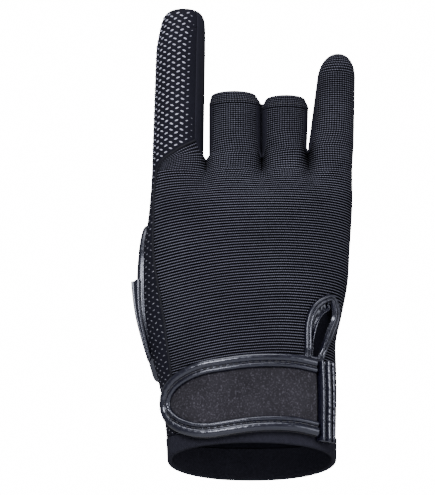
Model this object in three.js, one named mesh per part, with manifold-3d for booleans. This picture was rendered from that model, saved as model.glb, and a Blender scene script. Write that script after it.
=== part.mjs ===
// Bowling glove for a right hand, in its worn form, in millimetres.
// +Z runs to the fingers, the back of the hand faces -Y and the little finger is on the +X side.
// The origin is the middle of the cuff mouth.

import * as THREE from "three";
import Module from "manifold-3d";

const wasm = await Module();
wasm.setup();

// Hand form
const palmLength = 138; // cuff to the webs between the fingers
const knuckleWidth = 86;
const palmDepth = 30;

// Fingers: how far each reaches above the webs
const indexReach = 63;
const middleReach = 23.4;
const ringReach = 21.7;
const littleReach = 42.4;
const indexWidth = 22.2;
const middleWidth = 22.93;
const ringWidth = 19.68;
const littleWidth = 19.8;
const fingerDepthShare = 0.92;
const stripReachIndex = 52; // the smooth strips stop below the closed tips
const stripReachLittle = 32;

// Cloth
const clothThickness = 1.2;
const hemThickness = 1.6;
const hemHeight = 6;
const cuffThickness = 2;
const cuffHeight = 8;
const seamGap = 0.34;
const layerGap = 0.3;

// Thumb hole
const thumbHoleHeight = 60;
const thumbHoleWidth = 26;
const thumbHoleLevel = 69;
const thumbBulge = 9.5; // how far the thumb's root pushes the cloth out
const thumbTapeWidth = 6;
const thumbTapeThickness = 1.5;

// Wrist strap
const strapHeight = 33.4;
const strapLevel = 23.4;
const strapThickness = 1.4;
const strapReach = 66; // round the wrist, from the upright tape to the round end
const strapEndLength = 25; // of the rounded end
const rimWidth = 6.2;
const rimThickness = 1.9;
const fastenerThickness = 0.8;
const fastenerLength = 44;
const fastenerHeight = 24;

// Opening over the strap's root, and its upright tape
const slitHeight = 25;
const slitWidth = 11;
const pipingWidth = 3.4;
const pipingThickness = 1.7;
const gussetThickness = 0.8;
const edgeTapeWidth = 8.2;
const edgeTapeThickness = 4.6;
const edgeTapeHeight = 33.6;

// Palm sections: at is the share of palmLength; left and right are shares of knuckleWidth,
// back and palm are shares of palmDepth, and square is the section's exponent.
const palmSections = [
  { at: 0.0, left: 0.402, right: 0.41, back: 0.66, palm: 0.73, square: 2.2 },
  { at: 0.043, left: 0.406, right: 0.412, back: 0.663, palm: 0.733, square: 2.2 },
  { at: 0.188, left: 0.435, right: 0.42, back: 0.65, palm: 0.717, square: 2.2 },
  { at: 0.275, left: 0.464, right: 0.421, back: 0.633, palm: 0.717, square: 2.2 },
  { at: 0.362, left: 0.501, right: 0.422, back: 0.61, palm: 0.717, square: 2.25 },
  { at: 0.449, left: 0.528, right: 0.453, back: 0.593, palm: 0.7, square: 2.3 },
  { at: 0.551, left: 0.536, right: 0.485, back: 0.573, palm: 0.667, square: 2.35 },
  { at: 0.659, left: 0.529, right: 0.498, back: 0.547, palm: 0.617, square: 2.4 },
  { at: 0.761, left: 0.508, right: 0.511, back: 0.517, palm: 0.567, square: 2.45 },
  { at: 0.877, left: 0.498, right: 0.521, back: 0.47, palm: 0.495, square: 2.5 },
  { at: 1.014, left: 0.498, right: 0.525, back: 0.39, palm: 0.41, square: 2.5 },
];

// Fingers: middle is the centre line's place at the web, as a share of knuckleWidth, lean is how far
// it moves per unit of height, and taper is the share of the width lost by the tip. A tip may also be
// set over and narrowed. An open stall's mouth dips over the back of the finger and draws in at its sides.
const fingers = {
  index: {
    middle: -0.3615,
    lean: 0.02,
    width: indexWidth,
    taper: 0.03,
    reach: indexReach,
    dome: 14 / 63,
    round: 3,
    tipOver: 0.06,
    tipNarrow: 0.12,
    dip: 0,
    drawLeft: 0,
    drawRight: 0,
  },
  middle: {
    middle: -0.0725,
    lean: 0,
    width: middleWidth,
    taper: 0,
    reach: middleReach,
    dip: 0.06,
    drawLeft: 0.04,
    drawRight: 0.095,
  },
  ring: {
    middle: 0.17686,
    lean: 0.025,
    width: ringWidth,
    taper: -0.05,
    reach: ringReach,
    dip: 0.06,
    drawLeft: 0.08,
    drawRight: 0.08,
  },
  little: {
    middle: 0.413,
    lean: 0.086,
    width: littleWidth,
    taper: 0.216,
    reach: littleReach,
    dome: 12 / 42.4,
    round: 2.3,
    tipOver: 0,
    tipNarrow: 0,
    dip: 0,
    drawLeft: 0,
    drawRight: 0,
  },
};

// Where two neighbours part: midway between their facing sides, as a share of knuckleWidth.
function midway(left, right) {
  return (left.middle + right.middle) / 2 + (left.width - right.width) / 4 / knuckleWidth;
}

// Webs: where two neighbours part, and how high, as a share of palmLength.
const webs = {
  indexMiddle: { across: midway(fingers.index, fingers.middle), level: 0.945 },
  middleRing: { across: midway(fingers.middle, fingers.ring), level: 0.953 },
  ringLittle: { across: midway(fingers.ring, fingers.little), level: 0.9745 },
};

// Seam between knit back and dotted cloth on the thumb side: turn is the angle round the palm.
const thumbSeam = [
  { at: 0.0, turn: 28 },
  { at: 0.15, turn: 31 },
  { at: 0.29, turn: 36 },
  { at: 0.406, turn: 40 },
  { at: 0.52, turn: 36.5 },
  { at: 0.61, turn: 31 },
  { at: 0.72, turn: 25 },
  { at: 0.833, turn: 18 },
  { at: 0.9, turn: 17.5 },
];
const seamTop = 0.9; // share of palmLength where the seam turns to cross the index finger's root
const littleSeamTurn = 190;
const thumbRootTurn = -40;
const sideTurn = 22; // half of the arc that a smooth strip takes up on a finger
const rad = THREE.MathUtils.degToRad;

function smooth(from, to, value) {
  const t = THREE.MathUtils.clamp((value - from) / (to - from), 0, 1);
  return t * t * (3 - 2 * t);
}

// Value of one column of a table at a share, on a smooth curve through its rows.
function along(table, column, at) {
  let i = 0;
  while (i < table.length - 2 && at > table[i + 1].at) i++;
  const a = table[i];
  const b = table[i + 1];
  const before = table[Math.max(i - 1, 0)];
  const after = table[Math.min(i + 2, table.length - 1)];
  const step = b.at - a.at;
  const t = THREE.MathUtils.clamp((at - a.at) / step, 0, 1.2);
  const slopeA = ((b[column] - before[column]) / (b.at - before.at)) * step;
  const slopeB = ((after[column] - a[column]) / (after.at - a.at)) * step;
  const t2 = t * t;
  const t3 = t2 * t;
  return (
    (2 * t3 - 3 * t2 + 1) * a[column] +
    (t3 - 2 * t2 + t) * slopeA +
    (-2 * t3 + 3 * t2) * b[column] +
    (t3 - t2) * slopeB
  );
}

function power(value, exponent) {
  return Math.sign(value) * Math.abs(value) ** exponent;
}

// Turn 0 is the thumb side, 90 the back of the hand, 180 the little finger's side, 270 the palm.
function palmPoint(turn, z) {
  const at = z / palmLength;
  const left = along(palmSections, "left", at) * knuckleWidth;
  const right = along(palmSections, "right", at) * knuckleWidth;
  const depthColumn = Math.sin(rad(turn)) >= 0 ? "back" : "palm";
  const depth = along(palmSections, depthColumn, at) * palmDepth;
  const exponent = 2 / along(palmSections, "square", at);
  const fromThumb = ((((turn - thumbRootTurn) % 360) + 540) % 360) - 180;
  const bulge = thumbBulge * Math.exp(-((fromThumb / 27) ** 2) - ((at - thumbHoleLevel / palmLength) / 0.2) ** 2);
  return new THREE.Vector3(
    (right - left) / 2 - ((right + left) / 2) * power(Math.cos(rad(turn)), exponent) - 0.96 * bulge,
    -depth * power(Math.sin(rad(turn)), exponent) + 0.28 * bulge,
    z,
  );
}

// Turn on the palm's back at a place across the hand, at the height of the webs.
function turnAcross(across) {
  const top = palmSections[palmSections.length - 1];
  const middle = (top.right - top.left) / 2;
  const half = (top.right + top.left) / 2;
  const share = (across - middle) / half;
  return THREE.MathUtils.radToDeg(Math.acos(-power(share, 2.5 / 2)));
}

const cuts = {
  indexMiddle: turnAcross(webs.indexMiddle.across),
  middleRing: turnAcross(webs.middleRing.across),
  ringLittle: turnAcross(webs.ringLittle.across),
};

// Each lobe: its finger, the webs beside it, and the turns that it takes up on the palm.
const lobes = {
  index: { finger: fingers.index, leftWeb: null, rightWeb: webs.indexMiddle, from: 0, to: cuts.indexMiddle },
  middle: {
    finger: fingers.middle,
    leftWeb: webs.indexMiddle,
    rightWeb: webs.middleRing,
    from: cuts.indexMiddle,
    to: cuts.middleRing,
  },
  ring: {
    finger: fingers.ring,
    leftWeb: webs.middleRing,
    rightWeb: webs.ringLittle,
    from: cuts.middleRing,
    to: cuts.ringLittle,
  },
  little: { finger: fingers.little, leftWeb: webs.ringLittle, rightWeb: null, from: cuts.ringLittle, to: 180 },
};

const notch = 3.2; // height over which two lobes part above a web

function fingerSize(finger, z) {
  const rise = z - palmLength;
  const top = finger.reach;
  const share = rise / top;
  let half = (finger.width / 2) * (1 - finger.taper * Math.max(share, 0));
  let middle = finger.middle * knuckleWidth + finger.lean * rise;
  if (finger.dome) {
    const nearTip = smooth(0.68, 0.97, share);
    const inDome = THREE.MathUtils.clamp((share - 1 + finger.dome) / finger.dome, 0, 1);
    half *= (1 - finger.tipNarrow * nearTip) * (1 - inDome ** finger.round) ** (1 / finger.round);
    middle += finger.width * finger.tipOver * nearTip;
  }
  return { middle, half, depth: half * fingerDepthShare };
}

// Height of the web at a turn of a finger, between its two sides.
function webLevel(lobe, turn) {
  const leftLevel = (lobe.leftWeb ?? lobe.rightWeb).level;
  const rightLevel = (lobe.rightWeb ?? lobe.leftWeb).level;
  const share = (1 - Math.cos(rad(turn))) / 2;
  return THREE.MathUtils.lerp(leftLevel, rightLevel, share) * palmLength;
}

// A point on a finger, whose sides meet its neighbours' at the webs and part above them.
function fingerPoint(lobe, turn, z) {
  const size = fingerSize(lobe.finger, z);
  const reach = size.half * Math.cos(rad(sideTurn));
  const drawn = lobe.finger.width * smooth(0.79, 1, (z - palmLength) / lobe.finger.reach);
  const leftOpen = lobe.leftWeb ? smooth(0, notch, z - lobe.leftWeb.level * palmLength) : 1;
  const rightOpen = lobe.rightWeb ? smooth(0, notch, z - lobe.rightWeb.level * palmLength) : 1;
  let left = size.middle - reach + drawn * lobe.finger.drawLeft;
  let right = size.middle + reach - drawn * lobe.finger.drawRight;
  if (lobe.leftWeb) left = THREE.MathUtils.lerp(lobe.leftWeb.across * knuckleWidth, left, leftOpen);
  if (lobe.rightWeb) right = THREE.MathUtils.lerp(lobe.rightWeb.across * knuckleWidth, right, rightOpen);
  const cosine = Math.cos(rad(turn));
  const edge = Math.cos(rad(sideTurn));
  let x;
  if (cosine > edge) x = left - leftOpen * size.half * (cosine - edge);
  else if (cosine < -edge) x = right + rightOpen * size.half * (-edge - cosine);
  else x = THREE.MathUtils.mapLinear(cosine, edge, -edge, left, right);
  const dip = lobe.finger.width * lobe.finger.dip * smooth(0.1, 0.9, (z - palmLength) / lobe.finger.reach);
  return new THREE.Vector3(x, -size.depth * Math.sin(rad(turn)), z - dip * Math.sin(rad(turn)));
}

// A point on the hand: the palm's own section low down, turning into the finger's at the webs.
function handPoint(lobe, turn, z) {
  const round = ((turn % 360) + 360) % 360;
  const onBack = round <= 180;
  const first = lobe.leftWeb ? sideTurn : 0;
  const last = lobe.rightWeb ? 180 - sideTurn : 180;
  const mirrored = onBack ? round : 360 - round;
  const share = THREE.MathUtils.clamp((mirrored - first) / (last - first), 0, 1);
  const palmTurn = THREE.MathUtils.lerp(lobe.from, lobe.to, share);
  const top = webLevel(lobe, turn);
  const blend = smooth(top * 0.82, top, z);
  const onFinger = fingerPoint(lobe, turn, z);
  if (blend >= 1) return onFinger;
  return palmPoint(onBack ? palmTurn : -palmTurn, z).lerp(onFinger, blend);
}

// The palm's turn put into one lobe's own turns.
function lobeTurn(lobe, palmTurn) {
  const first = lobe.leftWeb ? sideTurn : 0;
  const last = lobe.rightWeb ? 180 - sideTurn : 180;
  return THREE.MathUtils.mapLinear(palmTurn, lobe.from, lobe.to, first, last);
}

// Neighbouring sheets add their faces' normals here, so their walls lie side by side at a seam.
const seamNormals = new Map();
const placeKey = (point) => [point.x, point.y, point.z].map((v) => Math.round(v * 487.3 + 0.217)).join();

// A sheet is made of patches of four-sided cells that share their border points.
class Sheet {
  points = [];
  cells = [];
  places = new Map();

  index(point) {
    const key = placeKey(point);
    if (!this.places.has(key)) {
      this.places.set(key, this.points.length);
      this.points.push(point.clone());
    }
    return this.places.get(key);
  }

  // place(u, v) gives the point; across and up, in this order, turn anticlockwise seen from outside.
  patch(across, up, place) {
    const grid = [];
    for (let j = 0; j <= up; j++) {
      const row = [];
      for (let i = 0; i <= across; i++) row.push(this.index(place(i / across, j / up)));
      grid.push(row);
    }
    for (let j = 0; j < up; j++)
      for (let i = 0; i < across; i++) {
        const ring = [grid[j][i], grid[j][i + 1], grid[j + 1][i + 1], grid[j + 1][i]];
        const corners = ring.filter((p, k) => p !== ring[(k + 1) % 4]);
        if (new Set(corners).size >= 3) this.cells.push(corners);
      }
    return this;
  }

  triangles() {
    const found = [];
    for (const cell of this.cells) {
      if (cell.length === 3) found.push(cell);
      else {
        const [a, b, c, d] = cell;
        const short = this.points[a].distanceTo(this.points[c]) <= this.points[b].distanceTo(this.points[d]);
        if (short) found.push([a, b, c], [a, c, d]);
        else found.push([a, b, d], [b, c, d]);
      }
    }
    return found;
  }

  ownNormals() {
    const normals = this.points.map(() => new THREE.Vector3());
    for (const triangle of this.triangles()) {
      const [a, b, c] = triangle.map((i) => this.points[i]);
      const normal = b.clone().sub(a).cross(c.clone().sub(a));
      for (const i of triangle) normals[i].add(normal);
    }
    return normals;
  }

  // Makes this sheet a neighbour of the others that are sewn to it.
  sew() {
    this.ownNormals().forEach((normal, i) => {
      const key = placeKey(this.points[i]);
      seamNormals.set(key, (seamNormals.get(key) ?? new THREE.Vector3()).add(normal));
    });
    return this;
  }

  // The closed solid: the outer face raised by lift, the inner one thickness below it, and the rim.
  solid(thickness, lift = 0, margin = seamGap / 2) {
    const triangles = this.triangles();
    const normals = this.ownNormals().map((own, i) =>
      (seamNormals.get(placeKey(this.points[i])) ?? own).clone().normalize(),
    );
    const edges = new Map();
    for (const triangle of triangles) {
      const [a, b, c] = triangle.map((i) => this.points[i]);
      const normal = b.clone().sub(a).cross(c.clone().sub(a));
      triangle.forEach((i, k) => edges.set(i + "," + triangle[(k + 1) % 3], normal));
    }
    const rim = [...edges.keys()].filter((key) => !edges.has(key.split(",").reverse().join()));
    const inward = new Map();
    for (const key of rim) {
      const [a, b] = key.split(",").map(Number);
      const side = edges.get(key).clone().normalize();
      side.cross(this.points[b].clone().sub(this.points[a]).normalize());
      for (const i of [a, b]) inward.set(i, (inward.get(i) ?? new THREE.Vector3()).add(side));
    }
    const flat = this.points.map((point, i) => {
      if (!inward.has(i)) return point.clone();
      const side = inward.get(i);
      const size = Math.max(side.length(), 0.6);
      return point.clone().addScaledVector(side, (margin * 2) / size / size);
    });
    const outer = flat.map((point, i) => point.clone().addScaledVector(normals[i], lift));
    const inner = flat.map((point, i) => point.clone().addScaledVector(normals[i], lift - thickness));
    const count = flat.length;
    const faces = [];
    for (const [a, b, c] of triangles) faces.push(a, b, c, a + count, c + count, b + count);
    for (const key of rim) {
      const [a, b] = key.split(",").map(Number);
      faces.push(a, a + count, b + count, a, b + count, b);
    }
    return solidFrom([...outer, ...inner], faces);
  }
}

function solidFrom(points, faces) {
  const vertProperties = new Float32Array(points.flatMap((p) => [p.x, p.y, p.z]));
  return new wasm.Manifold(new wasm.Mesh({ numProp: 3, vertProperties, triVerts: new Uint32Array(faces) }));
}

// A closed solid swept through stations: each has a point, a side and an out vector, and a width and
// a height. The profile's rows give side (-1 to 1) and rise (0 to 1), in order round the section.
function sweep(stations, profile, closed) {
  const points = [];
  const faces = [];
  const n = profile.length;
  for (const station of stations)
    for (const { side, rise } of profile)
      points.push(
        station.point
          .clone()
          .addScaledVector(station.side, (side * station.width) / 2)
          .addScaledVector(station.out, station.lift + rise * station.height),
      );
  const rings = stations.length;
  for (let s = 0; s < (closed ? rings : rings - 1); s++) {
    const next = (s + 1) % rings;
    for (let k = 0; k < n; k++) {
      const a = s * n + k;
      const b = s * n + ((k + 1) % n);
      const c = next * n + ((k + 1) % n);
      const d = next * n + k;
      faces.push(a, b, c, a, c, d);
    }
  }
  if (!closed) {
    const last = (rings - 1) * n;
    const contour = profile.map(({ side, rise }) => new THREE.Vector2(side * 10, rise * 10));
    for (const [a, b, c] of THREE.ShapeUtils.triangulateShape(contour, []))
      faces.push(c, b, a, last + a, last + b, last + c);
  }
  const made = solidFrom(points, faces);
  if (made.volume() > 0) return made;
  const turned = [];
  for (let i = 0; i < faces.length; i += 3) turned.push(faces[i], faces[i + 2], faces[i + 1]);
  return solidFrom(points, turned);
}

// Outward normal of the palm's form.
function palmNormal(turn, z) {
  const round = palmPoint(turn + 0.5, z).sub(palmPoint(turn - 0.5, z));
  const up = palmPoint(turn, z + 0.5).sub(palmPoint(turn, z - 0.5));
  return round.cross(up).normalize();
}

// Stations along a route of { turn, z } on the palm's form.
function stationsOn(route, closed, size) {
  const places = route.map(({ turn, z }) => palmPoint(turn, z));
  return route.map((stop, i) => {
    const before = closed ? places[(i - 1 + places.length) % places.length] : places[Math.max(i - 1, 0)];
    const after = closed ? places[(i + 1) % places.length] : places[Math.min(i + 1, places.length - 1)];
    const out = palmNormal(stop.turn, stop.z);
    const side = after.clone().sub(before).cross(out).normalize();
    return { point: places[i], side, out, ...size(stop, i / (route.length - (closed ? 0 : 1))) };
  });
}

// Distance round the wrist at one height, from one turn to another.
function arcLength(from, to, z) {
  let sum = 0;
  const steps = 60;
  for (let i = 0; i < steps; i++) {
    const a = THREE.MathUtils.lerp(from, to, i / steps);
    const b = THREE.MathUtils.lerp(from, to, (i + 1) / steps);
    sum += palmPoint(a, z).distanceTo(palmPoint(b, z));
  }
  return sum;
}

// The turn that lies a distance back from another turn, towards the thumb.
function turnBack(from, distance, z) {
  let turn = from;
  let left = distance;
  while (left > 0) {
    const step = palmPoint(turn, z).distanceTo(palmPoint(turn - 0.5, z));
    turn -= left < step ? 0.5 * (left / step) : 0.5;
    left -= step;
  }
  return turn;
}

const glove = new THREE.Group();

function add(name, solid, material) {
  const parts = solid.decompose().sort((a, b) => b.volume() - a.volume());
  const mesh = parts[0].getMesh();
  const geometry = new THREE.BufferGeometry();
  const positions = new Float32Array(mesh.numVert * 3);
  for (let i = 0; i < mesh.numVert; i++)
    positions.set(mesh.vertProperties.subarray(i * mesh.numProp, i * mesh.numProp + 3), i * 3);
  geometry.setAttribute("position", new THREE.BufferAttribute(positions, 3));
  geometry.setIndex(new THREE.BufferAttribute(mesh.triVerts, 1));
  geometry.computeVertexNormals();
  const made = new THREE.Mesh(geometry, material);
  made.name = name;
  glove.add(made);
}

const knit = new THREE.MeshStandardMaterial({ color: 0x20222b, roughness: 0.85, metalness: 0 });
const dotted = new THREE.MeshStandardMaterial({ color: 0x1c1d26, roughness: 0.6, metalness: 0 });
const smoothCloth = new THREE.MeshStandardMaterial({ color: 0x15161c, roughness: 0.75, metalness: 0 });
const leatherette = new THREE.MeshStandardMaterial({ color: 0x23252f, roughness: 0.4, metalness: 0 });
const brushed = new THREE.MeshStandardMaterial({ color: 0x2b292c, roughness: 0.95, metalness: 0 });

// Rows and columns of the sheets
const palmRows = 18;
const webRows = 3;
const lobeColumns = 7;

const cuffTop = cuffHeight;
const seamTurnAt = (z) => along(thumbSeam, "turn", z / palmLength);
const seamTopZ = seamTop * palmLength;
const seamStart = lobeTurn(lobes.index, seamTurnAt(seamTopZ));
const lobeRight = 180 - sideTurn;

// The edge of the dotted cloth across the index finger's root, from the thumb side to the web.
function indexRootZ(share) {
  const end = webs.indexMiddle.level * palmLength;
  return THREE.MathUtils.lerp(seamTopZ, end, share) + 0.01 * palmLength * Math.sin(Math.PI * share ** 0.6);
}

const webTop = (lobe, turn) => webLevel(lobe, turn);
const indexStripTop = palmLength + stripReachIndex;
const littleStripTop = palmLength + stripReachLittle;
const fingerRows = { index: 10, middle: 4, ring: 4, little: 6 };
const riseTo = (foot, top, v) => THREE.MathUtils.lerp(foot, top, v ** 1.25);
const hemFoot = (finger) => palmLength + finger.reach - hemHeight;

// Back of the hand: knit
const back = new Sheet();
const palmZ = (v) => THREE.MathUtils.lerp(cuffTop, seamTopZ, v);
back.patch(lobeColumns, palmRows, (u, v) => {
  const z = palmZ(v);
  const left = lobeTurn(lobes.index, seamTurnAt(z));
  return handPoint(lobes.index, THREE.MathUtils.lerp(left, lobeRight, u), z);
});
back.patch(lobeColumns, webRows, (u, v) => {
  const turn = THREE.MathUtils.lerp(seamStart, lobeRight, u);
  return handPoint(lobes.index, turn, THREE.MathUtils.lerp(seamTopZ, indexRootZ(u), v));
});
for (const lobe of [lobes.middle, lobes.ring, lobes.little]) {
  const isLittle = lobe === lobes.little;
  const end = isLittle ? littleSeamTurn : lobeRight;
  const columns = isLittle ? lobeColumns + 1 : lobeColumns;
  const at = (u) => THREE.MathUtils.lerp(sideTurn, end, u);
  back.patch(columns, palmRows, (u, v) => handPoint(lobe, at(u), palmZ(v)));
  back.patch(columns, webRows, (u, v) =>
    handPoint(lobe, at(u), THREE.MathUtils.lerp(seamTopZ, webTop(lobe, at(u)), v)),
  );
  const top = isLittle ? littleStripTop : hemFoot(lobe.finger);
  back.patch(columns, isLittle ? fingerRows.little : fingerRows.middle, (u, v) =>
    handPoint(lobe, at(u), riseTo(webTop(lobe, at(u)), top, v)),
  );
}

// A closed finger end, from the height where its strip stops up to the tip.
function cap(sheet, lobe, from, parts) {
  const tip = palmLength + lobe.finger.reach;
  for (const [start, end, columns] of parts)
    sheet.patch(columns, 5, (u, v) =>
      fingerPoint(lobe, THREE.MathUtils.lerp(start, end, u), from + (tip - from) * Math.sin((v * Math.PI) / 2)),
    );
}
cap(back, lobes.little, littleStripTop, [
  [sideTurn, littleSeamTurn, lobeColumns + 1],
  [littleSeamTurn, 360 - sideTurn, 5],
  [-sideTurn, sideTurn, 2],
]);

// Palm, thumb side and index finger: dotted cloth
const palm = new Sheet();
const palmColumns = 5;
for (const lobe of [lobes.little, lobes.ring, lobes.middle, lobes.index]) {
  const isLittle = lobe === lobes.little;
  const isIndex = lobe === lobes.index;
  const from = isLittle ? littleSeamTurn : 180 + sideTurn;
  const to = isIndex ? 360 : 360 - sideTurn;
  const at = (u) => THREE.MathUtils.lerp(from, to, u);
  palm.patch(palmColumns, palmRows, (u, v) => handPoint(lobe, at(u), palmZ(v)));
  palm.patch(palmColumns, webRows, (u, v) =>
    handPoint(lobe, at(u), THREE.MathUtils.lerp(seamTopZ, webTop(lobe, at(u)), v)),
  );
  if (isIndex) continue;
  const top = isLittle ? littleStripTop : hemFoot(lobe.finger);
  palm.patch(palmColumns, isLittle ? fingerRows.little : fingerRows.middle, (u, v) =>
    handPoint(lobe, at(u), riseTo(webTop(lobe, at(u)), top, v)),
  );
}
palm.patch(3, palmRows, (u, v) => {
  const z = palmZ(v);
  return handPoint(lobes.index, lobeTurn(lobes.index, seamTurnAt(z)) * u, z);
});
palm.patch(3, webRows, (u, v) => {
  const turn = seamStart * u;
  return handPoint(lobes.index, turn, THREE.MathUtils.lerp(seamTopZ, webTop(lobes.index, turn), v));
});
palm.patch(lobeColumns, webRows, (u, v) => {
  const turn = THREE.MathUtils.lerp(seamStart, lobeRight, u);
  return handPoint(lobes.index, turn, THREE.MathUtils.lerp(indexRootZ(u), webTop(lobes.index, turn), v));
});
const indexParts = [
  [180 + sideTurn, 360, palmColumns],
  [0, seamStart, 3],
  [seamStart, lobeRight, lobeColumns],
];
for (const [start, end, columns] of indexParts)
  palm.patch(columns, fingerRows.index, (u, v) => {
    const turn = THREE.MathUtils.lerp(start, end, u);
    return handPoint(lobes.index, turn, riseTo(webTop(lobes.index, turn), indexStripTop, v));
  });
cap(palm, lobes.index, indexStripTop, [...indexParts, [lobeRight, 180 + sideTurn, 2]]);

// Smooth strips: down one finger's side, through the web and up the next finger's side
function fourchette(leftName, rightName, web, leftTop, rightTop) {
  const strip = new Sheet();
  const floor = web.level * palmLength;
  strip.patch(4, fingerRows[leftName], (u, v) =>
    fingerPoint(lobes[leftName], THREE.MathUtils.lerp(lobeRight, 360 - lobeRight, u), riseTo(floor, leftTop, v)),
  );
  strip.patch(4, fingerRows[rightName], (u, v) =>
    fingerPoint(lobes[rightName], THREE.MathUtils.lerp(-sideTurn, sideTurn, u), riseTo(floor, rightTop, v)),
  );
  return strip;
}

const middleFoot = hemFoot(fingers.middle);
const ringFoot = hemFoot(fingers.ring);
const indexMiddleStrip = fourchette("index", "middle", webs.indexMiddle, indexStripTop, middleFoot);
const middleRingStrip = fourchette("middle", "ring", webs.middleRing, middleFoot, ringFoot);
const ringLittleStrip = fourchette("ring", "little", webs.ringLittle, ringFoot, littleStripTop);
for (const sheet of [back, palm, indexMiddleStrip, middleRingStrip, ringLittleStrip]) sheet.sew();

// Turned hems of the two open stalls
function hem(lobe) {
  const ring = new Sheet();
  const foot = hemFoot(lobe.finger);
  ring.patch(24, 2, (u, v) => fingerPoint(lobe, 360 * u, foot + hemHeight * v));
  return ring.solid(hemThickness);
}

// Cuff band, a little longer over the palm than over the back
const cuff = new Sheet();
cuff.patch(44, 2, (u, v) => {
  const turn = 360 * u;
  const foot = palmLength * (-0.009 + 0.032 * Math.sin(rad(turn)));
  const point = palmPoint(turn, THREE.MathUtils.lerp(Math.max(foot, 0), cuffTop, v));
  point.z = THREE.MathUtils.lerp(foot, cuffTop, v);
  return point;
});

// Thumb hole: an oval cut through the thumb side, covered by a tape
const thumbMiddleTurn = -17;
function thumbRoute(count, grow = 0) {
  const route = [];
  const middle = palmPoint(thumbMiddleTurn, thumbHoleLevel);
  const halfTurn = 9.5 * (thumbHoleWidth / 2 + grow) / (knuckleWidth * 0.075);
  for (let i = 0; i < count; i++) {
    const angle = (2 * Math.PI * i) / count;
    const z = thumbHoleLevel + (thumbHoleHeight / 2 + grow) * Math.sin(angle);
    route.push({ turn: thumbMiddleTurn + halfTurn * Math.cos(angle), z, middle });
  }
  return route;
}

// A prism through the wall, following a closed route on the palm's form.
function cutterOn(route, depth) {
  const points = [];
  const faces = [];
  const n = route.length;
  for (const { turn, z } of route) {
    const point = palmPoint(turn, z);
    const normal = palmNormal(turn, z);
    points.push(point.clone().addScaledVector(normal, -depth), point.clone().addScaledVector(normal, depth));
  }
  const inside = new THREE.Vector3();
  const outside = new THREE.Vector3();
  points.forEach((p, i) => (i % 2 ? outside : inside).addScaledVector(p, 1 / n));
  points.push(inside, outside);
  for (let i = 0; i < n; i++) {
    const j = (i + 1) % n;
    faces.push(2 * i, 2 * j, 2 * j + 1, 2 * i, 2 * j + 1, 2 * i + 1);
    faces.push(2 * n, 2 * j, 2 * i, 2 * n + 1, 2 * i + 1, 2 * j + 1);
  }
  const made = solidFrom(points, faces);
  if (made.volume() > 0) return made;
  const turned = [];
  for (let i = 0; i < faces.length; i += 3) turned.push(faces[i], faces[i + 2], faces[i + 1]);
  return solidFrom(points, turned);
}

const tapeProfile = [
  { side: -1, rise: 0 },
  { side: 1, rise: 0 },
  { side: 1, rise: 0.55 },
  { side: 0.55, rise: 1 },
  { side: 0.05, rise: 0.62 },
  { side: -0.45, rise: 1 },
  { side: -1, rise: 0.55 },
];

const thumbCut = cutterOn(thumbRoute(40), 5);
const thumbTape = sweep(
  stationsOn(thumbRoute(40, thumbTapeWidth / 2 - 1), true, () => ({
    width: thumbTapeWidth,
    height: thumbTapeThickness,
    lift: layerGap,
  })),
  tapeProfile,
  true,
);

// Opening over the strap's root: turn and height of its outline, as shares of its own size
const slitOutline = [
  { turn: -0.95, up: 0.0 },
  { turn: -0.93, up: 0.2 },
  { turn: -0.95, up: 0.4 },
  { turn: -0.98, up: 0.6 },
  { turn: -0.88, up: 0.776 },
  { turn: -0.58, up: 0.896 },
  { turn: -0.125, up: 0.976 },
  { turn: 0.17, up: 1.0 },
  { turn: 0.58, up: 0.92 },
  { turn: 0.875, up: 0.8 },
  { turn: 1.0, up: 0.68 },
  { turn: 0.79, up: 0.52 },
  { turn: 0.46, up: 0.34 },
  { turn: 0.04, up: 0.16 },
  { turn: -0.25, up: 0.0 },
  { turn: -0.6, up: -0.02 },
];
const edgeTapeFoot = 4.4;
const slitFoot = edgeTapeFoot + edgeTapeHeight + pipingWidth / 2 + 3 * layerGap;
const strapTop = strapLevel + strapHeight / 2;
const flatPiping = 0.8; // where the strap lies over it
const slitMiddleTurn = 144;
const slitHalfTurn = 12 * (slitWidth / 11);
const slitTurnLength = slitWidth / 2 / slitHalfTurn; // of one degree there
// The outline moved outwards by a distance, at right angles to itself.
function slitRoute(grow) {
  const stops = slitOutline.map(({ turn, up }) => ({
    turn: slitMiddleTurn + slitHalfTurn * turn,
    z: slitFoot + slitHeight * up,
  }));
  return stops.map(({ turn, z }, i) => {
    const before = stops[(i + stops.length - 1) % stops.length];
    const after = stops[(i + 1) % stops.length];
    const run = (after.turn - before.turn) * slitTurnLength;
    const rise = after.z - before.z;
    const share = grow / Math.hypot(run, rise);
    return { turn: turn - (rise * share) / slitTurnLength, z: z + run * share };
  });
}
const slitCut = cutterOn(slitRoute(0), 5);
const pipingEdge = slitMiddleTurn + slitHalfTurn * 0.3;
const slitTape = sweep(
  stationsOn(slitRoute(0.9), true, (stop) => ({
    width: pipingWidth * THREE.MathUtils.lerp(1, 1.4, smooth(pipingEdge, pipingEdge + 9, stop.turn)),
    height: THREE.MathUtils.lerp(flatPiping, pipingThickness, smooth(strapTop + 0.8, strapTop + 4, stop.z)),
    lift: layerGap,
  })),
  tapeProfile,
  true,
);

// Dark cloth under that opening
const gusset = new Sheet();
const gussetReach = 1.5;
gusset.patch(8, 10, (u, v) =>
  palmPoint(
    slitMiddleTurn + slitHalfTurn * THREE.MathUtils.lerp(-gussetReach, gussetReach, u),
    slitFoot + slitHeight * THREE.MathUtils.lerp(-0.12, 1.14, v),
  ),
);

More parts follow.
